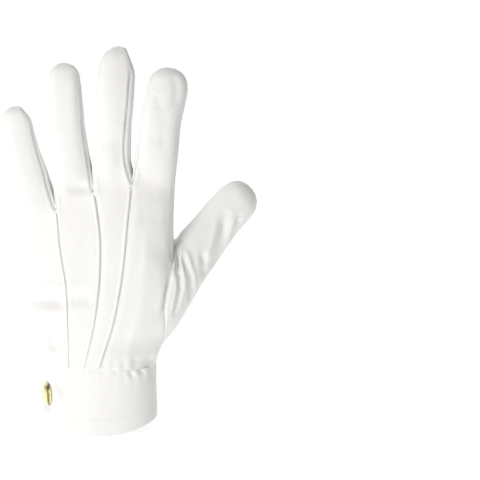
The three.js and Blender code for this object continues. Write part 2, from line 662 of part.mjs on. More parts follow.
// How far the cuff lies off the seam line: the outer end above it, the hidden end below it.
const rampShare = (ramp, column) => smooth((column - ramp.from) / (ramp.to - ramp.from));
function lapOffset(column) {
  return (CUFF.lift / 2) * (1 - rampShare(CUFF.outerRamp, column) - rampShare(CUFF.hiddenRamp, column));
}

// The round cuff before the snap flattens it, at a hand column and a height above the hem.
function roundCuff(column, height) {
  const seam = handPoint(column, 0);
  const out = outFrom((c) => handPoint(c, 0), column);
  const drop = 1 - height / CUFF_TOP;
  const base = handSection(0);
  const hem = lerp(CUFF.hemMiddle, CUFF.hemSide, ((seam.x - base.middle) / base.half) ** 2);
  const wave = (GATHER.height / 2) * gatherWave(column, height);
  return new THREE.Vector3(seam.x + CUFF.shift * drop, seam.y, height + hem * drop)
    .addScaledVector(out, lapOffset(column) + CUFF.flare * drop + wave);
}

// The snap's axis: the place where it crosses the round cuff, and the way out of the cuff.
const snapCentre = roundCuff(SNAP.column, SNAP.z);
const snapOut = outFrom((c) => roundCuff(c, SNAP.z), SNAP.column).applyAxisAngle(UP, -radians(SNAP.turn));

// A point of the cuff's outer face, level round the snap.
function cuffPoint(column, height) {
  const place = roundCuff(column, height);
  const from = place.clone().sub(snapCentre);
  const rise = from.dot(snapOut);
  const away = from.addScaledVector(snapOut, -rise).length();
  const isNear = Math.abs(rise) < SNAP.seat + SNAP.fade;
  const level = isNear ? 1 - smooth((away - SNAP.seat) / SNAP.fade) : 0;
  const layer = lapOffset(column) - CUFF.lift / 2;
  return place.addScaledVector(snapOut, level * (layer - SNAP.sink - rise));
}

function cuffBand() {
  const columns = [];
  let column = CUFF.over;
  while (column < CUFF.under) {
    columns.push(column);
    const gathered = column >= GATHER.from && column < GATHER.to;
    column += gathered ? GATHER.columnStep : 1;
  }
  columns.push(CUFF.under);
  const outer = new Map();
  const inner = new Map();
  const polygons = [];
  columns.forEach((c, i) => {
    CUFF.heights.forEach((height, j) => {
      const id = i * CUFF.heights.length + j;
      const place = cuffPoint(c, height);
      const out = outFrom((at) => cuffPoint(at, height), c);
      outer.set(id, place);
      inner.set(id, place.clone().addScaledVector(out, -CLOTH));
      if (i && j) {
        const left = id - CUFF.heights.length;
        polygons.push([left - 1, id - 1, id, left]);
      }
    });
  });
  return closedShell(polygons, outer, inner);
}

// Snap: a domed cap outside and one plain disc inside, both on the overlapped closure.
function snapCap() {
  const profile = [
    new THREE.Vector2(0, 0),
    new THREE.Vector2(SNAP.radius - SNAP.bevel, 0),
    new THREE.Vector2(SNAP.radius, SNAP.bevel),
    new THREE.Vector2(SNAP.radius, SNAP.rim),
  ];
  for (let angle = DOME_STEP; angle < 90; angle += DOME_STEP) {
    const rise = (SNAP.height - SNAP.rim) * Math.sin(radians(angle));
    profile.push(new THREE.Vector2(SNAP.radius * Math.cos(radians(angle)), SNAP.rim + rise));
  }
  profile.push(new THREE.Vector2(0, SNAP.height));
  return new THREE.LatheGeometry(profile, CAP_SIDES);
}

function snapBack() {
  const corners = [[0, 0], [SNAP.backRadius, 0], [SNAP.backRadius, SNAP.backThick], [0, SNAP.backThick]];
  return new THREE.LatheGeometry(corners.map(([r, z]) => new THREE.Vector2(r, z)), DISC_SIDES);
}

// Finishes
const cotton = () => new THREE.MeshStandardMaterial({ color: 0xf6f5f2, roughness: 0.9, metalness: 0 });
const brass = () => new THREE.MeshStandardMaterial({ color: 0xd9b23a, roughness: 0.3, metalness: 1 });

const glove = new THREE.Group();
function addPiece(name, geometry, material) {
  const mesh = new THREE.Mesh(geometry, material);
  mesh.name = name;
  glove.add(mesh);
  return mesh;
}

[...new Set(cells.map((c) => c.piece))].forEach((piece) => addPiece(piece, clothPiece(piece), cotton()));
[1, 2, 3].forEach((line) => {
  addPiece(`point_${['little', 'middle', 'index'][line - 1]}`, raisedPoint(line), cotton());
});
addPiece('cuff', cuffBand(), cotton());

// Depths are counted from the level cloth: above it for the cap, through both layers for the disc.
function seatSnap(mesh, depth) {
  mesh.position.copy(snapCentre).addScaledVector(snapOut, depth - SNAP.sink);
  mesh.quaternion.setFromUnitVectors(PALMWARD, snapOut);
}
seatSnap(addPiece('snap_cap', snapCap(), brass()), SEAM_GAP);
seatSnap(addPiece('snap_back', snapBack(), brass()), -(CUFF.lift + CLOTH + SEAM_GAP + SNAP.backThick));

export default glove;
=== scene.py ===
"""A white cotton dress glove for the left hand with a brass snap, dressed around its frame."""
import math
from collections import namedtuple
from functools import cache, partial, wraps

import bpy
import numpy as np
from bpy.props import FloatProperty, FloatVectorProperty, PointerProperty
from mathutils import Matrix, Vector, noise
from mathutils.bvhtree import BVHTree
from mathutils.kdtree import KDTree


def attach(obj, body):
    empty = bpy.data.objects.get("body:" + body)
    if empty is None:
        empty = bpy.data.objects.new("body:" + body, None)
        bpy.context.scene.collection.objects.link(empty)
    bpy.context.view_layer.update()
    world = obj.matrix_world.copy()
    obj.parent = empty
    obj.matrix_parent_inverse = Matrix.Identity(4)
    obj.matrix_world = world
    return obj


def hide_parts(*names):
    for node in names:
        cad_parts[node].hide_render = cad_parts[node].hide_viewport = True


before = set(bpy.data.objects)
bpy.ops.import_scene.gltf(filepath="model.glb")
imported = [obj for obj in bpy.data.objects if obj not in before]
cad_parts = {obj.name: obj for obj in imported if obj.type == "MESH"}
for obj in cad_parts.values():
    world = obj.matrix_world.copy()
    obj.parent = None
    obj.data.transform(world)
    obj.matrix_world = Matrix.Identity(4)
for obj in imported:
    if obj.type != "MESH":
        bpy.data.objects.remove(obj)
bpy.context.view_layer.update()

bl_info = {
    "name": "White dress glove",
    "version": (1, 0, 0),
    "blender": (4, 5, 0),
    "location": "3D View > Sidebar > Glove",
    "description": "Builds a white cotton dress glove with raised points and a brass snap",
    "category": "Add Mesh",
}

BODY = "root"
CLOTH_SLOT = "cotton_cloth"
BRASS_SLOT = "brass"
STRIPS = ("fourchette_little_ring", "fourchette_ring_middle", "fourchette_middle_index")
PIECES = ("back_panel", "palm_panel", *STRIPS, "thumb")
THUMB_PIECE = PIECES.index("thumb")
RIM = -1  # stands for the piece beyond the open edge
MM = 0.001  # the tables below are in millimetres
TINY = 1e-12  # keeps a division from meeting zero
UP = Vector((0, 0, 1))
PALMWARD = Vector((0, 1, 0))

# The hand
CUFF_TOP = 38.5  # height of the seam between cuff and hand
HAND_EDGE = 0.93  # where back and palm turn into the sides, as a share of the half width
FINGER_ROUND = 2.6  # exponent of the finger sections
FINGER_COLUMNS = 5  # cage columns across the back or the front of one finger
SIDE_COLUMNS = 4
HAND_ROWS = 12
SHAFT_ROWS = 9
CAP_ANGLES = (28, 52, 73)  # rings of a rounded tip, in degrees
HAND_COLUMNS = 8 * FINGER_COLUMNS + 2 * SIDE_COLUMNS
BACK_END = 4 * FINGER_COLUMNS
PALM_START = BACK_END + SIDE_COLUMNS
PALM_END = PALM_START + 4 * FINGER_COLUMNS

# Five lines up the hand from the cuff seam to the finger crotches, each at five heights. The outer
# two are the edges of the outline and the inner three carry the raised points.
HAND_LINES = (
    dict(x=(-37.4, -42, -47.4, -52.3, -55), z=(38.5, 62.9, 86.7, 110.3, 134)),  # little finger edge
    dict(x=(-18.7, -18.9, -19.8, -23.4, -25.7), z=(38.5, 66, 93, 118.2, 142.6)),  # little point
    dict(x=(-8.7, -1.5, 2.2, 2.5, -1.4), z=(38.5, 69.5, 99, 127.5, 154.5)),  # middle point
    dict(x=(1.1, 11.3, 17.2, 20.5, 23.4), z=(38.5, 70.5, 101, 131, 159.5)),  # index point
    dict(x=(36.8, 46.9, 49.8, 48.7, 49.9), z=(38.5, 67.9, 97, 125.8, 154.3)),  # thumb edge
)
# At the same heights: how far back and palm stand out, and the exponent of the superellipse there
HAND_DEPTH = dict(back=(24.5, 24, 22.5, 20, 14.5), palm=(24.5, 26, 25, 19.5, 12.5),
                  exponent=(2.4, 3.0, 3.4, 3.2, 3.1))
HEIGHTS = (0, 0.25, 0.5, 0.75, 1)

# Finger sections from the crotch upwards, x, y, z, width and depth. The last row is the tip. The
# seams say how far the side strips reach towards the back, in degrees, at the crotch and at their
# upper end. The fullness is an exponent: below 1 the rounded tip is fuller than a ball.
FINGERS = (
    dict(fullness=1.15, ulnar_seam=(38, 38), radial_seam=(44, 20), sections=(  # little
        (-43.1, 2, 159.1, 24, 20), (-46.8, 4, 172, 22, 18.5), (-50, 6.5, 184.8, 20, 17.5),
        (-52.1, 9, 196.5, 18.6, 16), (-51.6, 11, 206.3, 0, 0))),
    dict(fullness=1.1, ulnar_seam=(28, 22), radial_seam=(32, 20), sections=(  # ring
        (-17.2, 0, 172.5, 25.6, 22), (-19.7, 2, 191.7, 24.6, 21), (-20.6, 5, 210.7, 22.8, 20),
        (-20.8, 8, 223, 20.6, 18), (-20, 10.5, 234, 0, 0))),
    dict(fullness=1.2, ulnar_seam=(28, 22), radial_seam=(52, 44), sections=(  # middle
        (9.9, -2, 172.8, 24.6, 22.5), (11.2, 0, 196, 23.4, 21.5), (12.4, 2.5, 213, 24.2, 20.5),
        (13.2, 6, 228.5, 23.6, 18.5), (15.4, 9, 245, 0, 0))),
    dict(fullness=0.9, ulnar_seam=(36, 22), radial_seam=(38, 38), sections=(  # index
        (38.7, -2, 177, 27.2, 23), (41.3, 0, 197, 26, 22), (43.9, 2.5, 209.5, 26, 21),
        (45.6, 4.5, 218, 26, 19.5), (47.3, 7, 231, 0, 0))),
)
WIDTH, DEPTH = 3, 4  # places in a section's row
STRIP_END = 9  # ring at which a side strip ends, counted from the crotch
OPEN_SEAM = 40  # half angle of a side without a strip
OPEN_RINGS = 2  # rings above a strip over which the side opens to that angle
TIP_TURN = 20  # above a strip the seam of the tip lies this far towards the back, in degrees
BASE_BLEND = 26  # length over which the base loop turns into round finger sections
CROTCH_RISE = 6  # between two fingers the cloth stands this much higher in the middle

# The thumb's oval hole in rows and columns of the hand, and the thumb's sections outwards from
# there. On the back the hole is narrower by its tuck, in columns.
HOLE = dict(row0=1, row1=8, column0=BACK_END - 1, column1=PALM_START + 3, reach=1.28, tuck=0.7)
THUMB_FULLNESS = 0.9
THUMB = ((65.3, 12, 113.5, 31.5, 29), (73, 15.5, 123, 29, 27), (80.8, 18.5, 132.6, 28.2, 26),
         (89.6, 20, 142, 27.4, 24), (100.4, 20.5, 150.4, 0, 0))
FLARE_ROWS = 7  # cage rows from the hole to the thumb's first section
FLARE_OUT = 12  # how strongly they leave the hand at right angles
THUMB_ROWS = 4
THUMB_SEAM = 11  # place in the hole's loop from which the thumb's own seam runs up its palm side

# Folds and dents seen from the back (or from the palm): a line of x, z places, hollow where the
# depth is positive. Beside each valley the cloth rises by the ridge, as a share of the depth. At
# either end it fades over the taper, a share of its length, to the share of its depth in ends. A
# straight one is pressed towards the palm, the others at right angles to the cloth.
Stroke = namedtuple("Stroke", "line width depth ridge ends taper straight",
                    defaults=(0, 0.25, 0.22, False))
BACK_STROKES = (
    Stroke(((-48, 83), (-36, 85), (-20, 85.5)), 9, 4.0, 0.2),  # dent across the outer palm
    Stroke(((-17, 85.5), (-10, 86.5), (-2, 87.5)), 9, 1.4, 0.2),  # its end beyond the point
    Stroke(((-37, 68), (-30, 60.5), (-25, 49.5)), 10, 4.6, straight=True),  # above the closure
    Stroke(((-22, 155), (-9, 157), (3, 157)), 7, 1.9, ends=0, taper=0.5),  # below the ring finger
    Stroke(((28, 137), (36, 138), (42, 136)), 10, 0.7),  # dent below the index finger
    Stroke(((40.5, 118), (42, 104), (42, 90), (41, 74)), 13, -1.1),  # rise beside the thumb
    Stroke(((0, 53), (30, 56.5), (50, 60)), 16, 2.2, ends=0, taper=0.5),  # above the wrist
    Stroke(((50, 131), (49.5, 118), (48.5, 106), (45.5, 96)), 6, 1.6),  # hollow beside the thumb
    Stroke(((39.6, 216), (41.4, 205)), 6, 0.6),  # soft dent on the index finger
    Stroke(((34, 188), (46, 187.5)), 8, 0.5),  # dent across the index finger
    Stroke(((46.5, 205), (45, 190), (43.5, 172)), 10, 0.8),  # hollow down the index finger
    Stroke(((16.2, 192), (15.6, 180), (15, 168)), 7, 0.6),  # hollow down the middle finger
    Stroke(((-13, 226), (-13.2, 212), (-13.4, 196)), 8, -0.6),  # full side of the ring finger
    Stroke(((3, 186), (15, 185)), 8, 0.5),  # dent across the middle finger
    Stroke(((50, 228), (52, 219), (51, 207)), 6, 0.9),  # long hollow of the index tip
    Stroke(((31, 45.5), (35, 39.5)), 6.4, 1.6),  # gather above the wrist
    Stroke(((24.3, 46), (26.2, 39.5)), 4.8, 1.1),  # second gather
    Stroke(((17, 45), (19.2, 40)), 4.4, 0.6),  # third gather
)
CUFF_STROKES = (
    Stroke(((21.1, 40), (22, 34.5)), 2.6, 1.0, 0.3),  # gather below the wrist
    Stroke(((26.5, 40), (28.4, 35.5)), 2.8, 1.0, 0.3),  # second gather
    Stroke(((12.5, 40), (13.7, 35)), 3, 0.5, 0.3),  # third gather
    Stroke(((34.8, 40), (35.2, 30)), 3, 0.9, 0.2),  # gather at the edge
)
THUMB_STROKES = (
    Stroke(((49.4, 128), (50.4, 118), (51.2, 110), (52.2, 99)), 3.8, 6, straight=True),  # web
    # Fold along the seam
    Stroke(((49.6, 102), (47.1, 97), (44.6, 88.9), (42.4, 76.3), (42, 69.4)), 3, 1.0, 0.2),
    # Middle fold
    Stroke(((52.8, 103), (53.2, 97), (53.2, 90), (51.5, 82), (49.5, 74)), 2.6, 1.9, 0.4),
    # Right fold
    Stroke(((54.4, 115), (56.8, 106.0), (59.4, 97.4), (60.2, 88), (58.6, 79)), 3.2, 2.0, 0.4,
           ends=0),
    Stroke(((68, 113), (69.3, 104.9), (68.5, 96)), 4.2, 1.4, 0.3),  # short fold
    # Fold at the joint
    Stroke(((82.2, 135.0), (81.8, 125.1), (79.2, 115.1), (76.4, 107), (72, 97)), 6, 2.5, 0.3),
    Stroke(((92.2, 133.4), (89.6, 126.9), (87.0, 118.8)), 3.6, 1.4, 0.4),  # fold near the tip
    Stroke(((103.4, 148), (103.2, 136)), 2.6, 1.0),  # crease at the tip
)
PALM_STROKES = (
    Stroke(((-42, 122), (-20, 129), (0, 131), (18, 134)), 7, 1.0, 0.2),  # across the fingers
    Stroke(((30, 125), (14, 110), (6, 90), (8, 68), (14, 54)), 7, 1.2, 0.2),  # round the thumb
    Stroke(((32, 122), (8, 112), (-16, 98), (-30, 84)), 7, 0.9, 0.2),  # middle palm line
)
RIDGE_PLACE, RIDGE_WIDTH = 1.9, 0.8  # of the ridge beside a valley, in half widths of the valley
FACING = 2  # folds are full where the cloth faces the viewer to within 60 degrees
# Fingertips with a corner: the thumb side is cut off straight between two places.
TIP_CUTS = (
    dict(start=(-49.4, 205.3), end=(-43.7, 198.0), y=13),  # little finger
    dict(start=(19.3, 243.0), end=(24.5, 229.2), y=12),  # middle finger
)
CUT_REACH = (12, 8, 8)  # how far a cut acts to the left and right of its places and below them
CUT_LEAN = 2  # it faces the back by this angle in degrees
CUT_SOFT = 0.3
# Cells whose direction agrees less than this with that at their corners are evened out with their
# neighbours.
TANGLE = 0.45
TANGLE_ROUNDS = 24
TANGLE_SPREAD = 2
EVENING = 0.5  # share of the way that a point goes in one round
WEB = dict(place=(52.6, 11, 121.5), reach=6, rounds=6)  # evened out in the first rounds anyway
# The raised points: how far each is shifted off its line, the groove beside it towards the thumb,
# and the share of both that is left at the wrist
POINT_ROWS = (
    dict(line=1, name="point_little", shift=0.0, depth=0.3, width=0.8, low=0.45),
    dict(line=2, name="point_middle", shift=-0.5, depth=1.2, width=1.1, low=0.3),
    dict(line=3, name="point_index", shift=-1.0, depth=0.9, width=1.2, low=0.9),
)
POINT_LOW = (52, 95)  # heights between which that share grows to the whole
GROOVE = dict(
    place=1.0,  # from the middle of the point
    slope=1.8,  # its far side is wider by this factor
    fade=3,  # length over which it fades at either end
    rows=80)
POINT = dict(
    width=1.2, height=1.0, bottom=0.012, top=0.985,
    step=0.5, samples=300, sides=14,
    foot=0.35,  # the pleat starts this far inside the back
    lean=0.3,  # its crest leans this far towards the thumb
    skirt=2.0,  # its other side is wider by this factor
    spread=0.25,  # its foot spreads by this share
    crest=0.9,  # exponent of its rise
    pinch=0.1,  # each stitch draws it in by this share of its width
    end=2.0,  # it sinks away over this length at the top
    start=0.35,  # share of its height at the wrist
    slim=0.4,  # share of its width where it has sunk away
    uneven=0.04, beat=4.1,
    flat=0.3)  # flat width of one of its sides
EVEN_NORMALS = (1, 2, 3, 4, 3, 2, 1)  # weights of the neighbours along a raised point

# Seams: both edges turn in, lips stand beside them, and small puckers run along them.
SEAM_SINK = 0.75
WRIST_SEAM = 0.15  # the wrist seam sinks by this share of it, and the thumb's by the next
THUMB_SEAM_SHARE = 0.35
STRIP_TOPS = 190  # the side strips end above this height
LEVEL_RISE = 0.6  # an edge there that rises less than this is the end of a strip
SEAM_EVENING = 12  # rounds in which the depths are evened out along the seams
SEAM_REACH = 1.1
SEAM_STEP = 0.05  # hand columns between samples of the wrist seam
LIP = dict(height=0.28, place=2.1, width=1.0)
PUCKER = dict(pitch=4.6, height=0.09, reach=4.0, uneven=0.6, beat=7.3)
BORDER_GAP = 0.08  # each piece stops this far short of the seam line
WRIST_GAP = 0.02  # and this far at the wrist
DETAIL = 3  # subdivision of the net
CORRECTIONS = 3  # rounds that bring the smoothed cage back to its places

# Fine unevenness of the cloth: size of the waves across and along, and height
WRINKLES = (
    dict(across=16, along=30, height=0.35, seed=3.1),
    dict(across=5.5, along=13, height=0.12, seed=11.7),
)
SEAM_CALM = 5  # they fade out over this distance from a seam
CUFF_WRINKLES = 0.6  # the cuff has this share of them

# Cuff, from the edge of the outer layer over the closure to that of the layer under it
CUFF = dict(over=-3, under=50, lift=1.5, outer_ramp=(2.4, 6), hidden_ramp=(40, 44), shift=0.4,
            flare=0.2, hem_middle=-4.5, hem_side=3, lap_sewn=5)
CUFF_STEP = 0.12  # hand columns between the cuff's mesh lines
CUFF_ROWS = 72
COLUMN_NUDGE = 0.05
# The long gathers of the cuff stand as high as the calm share beside the short ones at the seam.
GATHER = dict(pitch=6.6, height=1.0, start=14, end=34, fade=14, ends=2, calm=0.45)
HEM = dict(line=9.0, rise=0.05, soft=1.2, groove=0.03, groove_width=0.7, stitches=0.6)
HEM_ENDS = (2, 6)  # hand columns at either end that have no stitches along the hem
LAP_STITCHES = dict(inside=0.35, skip=3)  # columns from the edge, rows left out at either end

# Snap
SNAP = dict(column=0.4, z=20, radius=7.5, height=3.4, sides=64, seat=8.5, fade=5, calm=2.5,
            sink=1.4, turn=11, gap=0.3)
# The rim of the cap: how far inside its radius each ring lies, and how high
CAP_RIM = ((0.4, 0), (0.12, 0.12), (0, 0.4), (0, 0.7), (0.15, 1.0), (0.5, 1.16), (0.9, 1.05))
CAP_DOME = dict(inset=1.1, foot=0.9, start=6, rings=14)
SNAP_BACK = dict(radius=5.5, thick=1.2, soft=0.25, sides=48, wall=1)
PAINTED_REFLECTION_WIDTH = 1.3  # half width of the painted dark reflection on the cap

# Thread and knit
STITCH = dict(pitch=3.0, fill=0.72, seat=0.02)  # the seat is the height of its middle above cloth
# Beside a raised point: place in half widths, rise and shift, and what is left out at either end
POINT_STITCH = dict(place=0.98, rise=0.25, aside=0.1, first=4, last=8)
RIB_PITCH = 1.1  # between ribs of the knit as drawn
LOOP_PITCH = 0.8  # between its loops

# Stage, in metres. The lights stand off the aim of the camera and shine on it.
CAMERA_AIM = (0.0922, 0.0, 0.1202)
CAMERA_CLIP = (0.01, 30)
SENSOR = 36
LENS = 115.4  # on that sensor at one metre, a pixel of the picture is 0.65 mm
LIGHTS = (
    dict(name="key_light", way=(-0.55, -0.75, 0.33), size=0.5, power="key"),
    dict(name="top_light", way=(-0.1, -0.05, 0.9), size=0.8, power="top"),
    dict(name="side_card", way=(-0.85, -0.15, -0.1), size=0.5, power="side"),
)
SWEEP = dict(left=-3.8, right=4.0, floor=(-2.0, -1.0, -0.3, 0.2), back=1.7, cove=0.65, turns=12,
             top=3.0)


def lerp(a, b, t):
    return a + (b - a) * t


def ramp(t, ends):
    """How far t has come from the first end to the second."""
    return (t - ends[0]) / (ends[1] - ends[0])


def smooth(t):
    t = np.clip(t, 0, 1)
    return t * t * (3 - 2 * t)


def bell(t):
    return np.exp(-(t ** 2))


def power(value, exponent):
    return math.copysign(abs(value) ** exponent, value)


def unit(vectors):
    return vectors / np.maximum(np.linalg.norm(vectors, axis=1, keepdims=True), TINY)


def span(a, b):
    return list(range(a, b + 1)) if b >= a else list(range(a, b - 1, -1))


def round_pairs(ids):
    """Each item of a closed loop with the one after it."""
    return zip(ids, ids[1:] + ids[:1])


def hermite(s):
    """Weights of a curve's start, its slope there, its end and its slope there, at a share s."""
    s2, s3 = s * s, s * s * s
    return 2 * s3 - 3 * s2 + 1, s3 - 2 * s2 + s, 3 * s2 - 2 * s3, s3 - s2


def spline_at(knots, values, t):
    """A smooth curve through values at the given knots."""
    last = len(knots) - 1
    i = 0
    while i < last - 1 and t > knots[i + 1]:
        i += 1

    def slope(j):
        a, b = max(0, j - 1), min(last, j + 1)
        return (values[b] - values[a]) / (knots[b] - knots[a])

    step = knots[i + 1] - knots[i]
    start, leave, end, arrive = hermite((t - knots[i]) / step)
    return (start * values[i] + leave * step * slope(i)
            + end * values[i + 1] + arrive * step * slope(i + 1))


@cache
def hand_section(t):
    """The hand's section at a share t of the way up: its middle, half width and half depths."""
    left = spline_at(HEIGHTS, HAND_LINES[0]["x"], t)
    right = spline_at(HEIGHTS, HAND_LINES[4]["x"], t)
    depths = {key: spline_at(HEIGHTS, values, t) for key, values in HAND_DEPTH.items()}
    return dict(middle=(left + right) / 2, half=(right - left) / 2, **depths,
                lines=[spline_at(HEIGHTS, line["x"], t) for line in HAND_LINES],
                heights=[spline_at(HEIGHTS, line["z"], t) for line in HAND_LINES])


def hand_point(column, t):
    """A point of the hand's surface at a column round it and a share t of the way up."""
    s = hand_section(t)
    n = s["exponent"]
    c = column % HAND_COLUMNS

    def flat(across, depth):
        inner = s["lines"][1:4]
        xs = [s["middle"] - HAND_EDGE * s["half"], *inner, s["middle"] + HAND_EDGE * s["half"]]
        x = spline_at((0, 1, 2, 3, 4), xs, across)
        r = min(1.0, abs((x - s["middle"]) / s["half"]))
        y = depth * (1 - r ** n) ** (1 / n)
        return Vector((x, y, spline_at((0, 1, 2, 3, 4), s["heights"], across)))

    def side(turn, sign, z):
        angle = math.acos(HAND_EDGE ** (n / 2)) * turn
        depth = s["back"] if angle > 0 else s["palm"]
        x = s["middle"] + sign * s["half"] * math.cos(angle) ** (2 / n)
        return Vector((x, -depth * power(math.sin(angle), 2 / n), z))

    if c <= BACK_END:
        return flat(c / FINGER_COLUMNS, -s["back"])
    if c < PALM_START:
        return side(1 - 2 * (c - BACK_END) / SIDE_COLUMNS, 1, s["heights"][4])
    if c <= PALM_END:
        return flat(4 - (c - PALM_START) / FINGER_COLUMNS, s["palm"])
    return side(2 * (c - PALM_END) / SIDE_COLUMNS - 1, -1, s["heights"][0])


def around_hole(column, row):
    """Columns and rows near the thumb, moved so that its rectangle of cells becomes an oval."""
    half_columns = (HOLE["column1"] - HOLE["column0"]) / 2
    half_rows = (HOLE["row1"] - HOLE["row0"]) / 2
    a = (column - HOLE["column0"]) / half_columns - 1
    b = (row - HOLE["row0"]) / half_rows - 1
    out = max(abs(a), abs(b))
    length = math.hypot(a, b) or 1
    keep = float(smooth((out - 1) / (HOLE["reach"] - 1)))
    across = half_columns - (HOLE["tuck"] * (1 - keep) if a < 0 else 0)
    return (HOLE["column0"] + half_columns + lerp(a / length * out, a, keep) * across,
            HOLE["row0"] + (1 + lerp(b / length * out, b, keep)) * half_rows)


class Limb:
    """The middle line of a finger or thumb with its sections, by the length along it."""

    def __init__(self, start, sections):
        self.spots = [start] + [Vector(s[:3]) for s in sections]
        self.knots = [0.0]
        for a, b in zip(self.spots, self.spots[1:]):
            self.knots.append(self.knots[-1] + (b - a).length)
        self.sizes = sections[:-1]
        self.first_section, self.cap_start, self.total = (self.knots[k] for k in (1, -2, -1))

    def centre(self, t):
        return Vector([spline_at(self.knots, [p[k] for p in self.spots], t) for k in range(3)])

    def direction(self, t):
        reach = 0.5
        ahead = self.centre(min(self.total, t + reach))
        return (ahead - self.centre(max(0, t - reach))).normalized()

    def sized(self, key, t):
        values = [self.sizes[0][key]] + [s[key] for s in self.sizes]
        return spline_at(self.knots[:-1], values, min(t, self.cap_start))

    def stops(self, shaft_rows, fullness, start=0.0):
        """Lengths of the rings, and how much the rounded tip narrows each."""
        found = [(lerp(start, self.cap_start, j / shaft_rows), 1.0) for j in range(shaft_rows + 1)]
        for angle in map(math.radians, CAP_ANGLES):
            at = self.cap_start + (self.total - self.cap_start) * math.sin(angle)
            found.append((at, math.cos(angle) ** fullness))
        return found


def seam_angle(seam, ring, has_strip):
    """The seam's angle at a ring: along a strip from its base to its top, and wider above it."""
    base, top = seam
    if not has_strip:
        return lerp(base, OPEN_SEAM, smooth(ring / STRIP_END))
    if ring <= STRIP_END:
        return lerp(base, top, ring / STRIP_END)
    return lerp(top, OPEN_SEAM, smooth((ring - STRIP_END) / OPEN_RINGS))


def ring_angles(radial, ulnar, turn):
    """Angles round a finger ring, as in the base loop. The turn moves the thumb side backwards."""
    corners = (180 - ulnar, turn + radial, turn - radial, ulnar - 180, -180 - ulnar)
    angles = []
    for (a, b), count in zip(zip(corners, corners[1:]), (FINGER_COLUMNS, SIDE_COLUMNS) * 2):
        angles += [math.radians(lerp(a, b, k / count)) for k in range(count)]
    return angles


def finger_piece(f, ring, k):
    """The piece of cloth that the cell at this place of a finger belongs to."""
    palm_start = FINGER_COLUMNS + SIDE_COLUMNS
    ulnar_start = palm_start + FINGER_COLUMNS
    if k < FINGER_COLUMNS:
        return "back_panel"
    if k < palm_start:
        if f < 3 and ring < STRIP_END:
            return STRIPS[f]
        return "back_panel" if k < FINGER_COLUMNS + SIDE_COLUMNS / 2 else "palm_panel"
    if k < ulnar_start:
        return "palm_panel"
    if f > 0 and ring < STRIP_END:
        return STRIPS[f - 1]
    return "palm_panel" if k < ulnar_start + SIDE_COLUMNS / 2 else "back_panel"


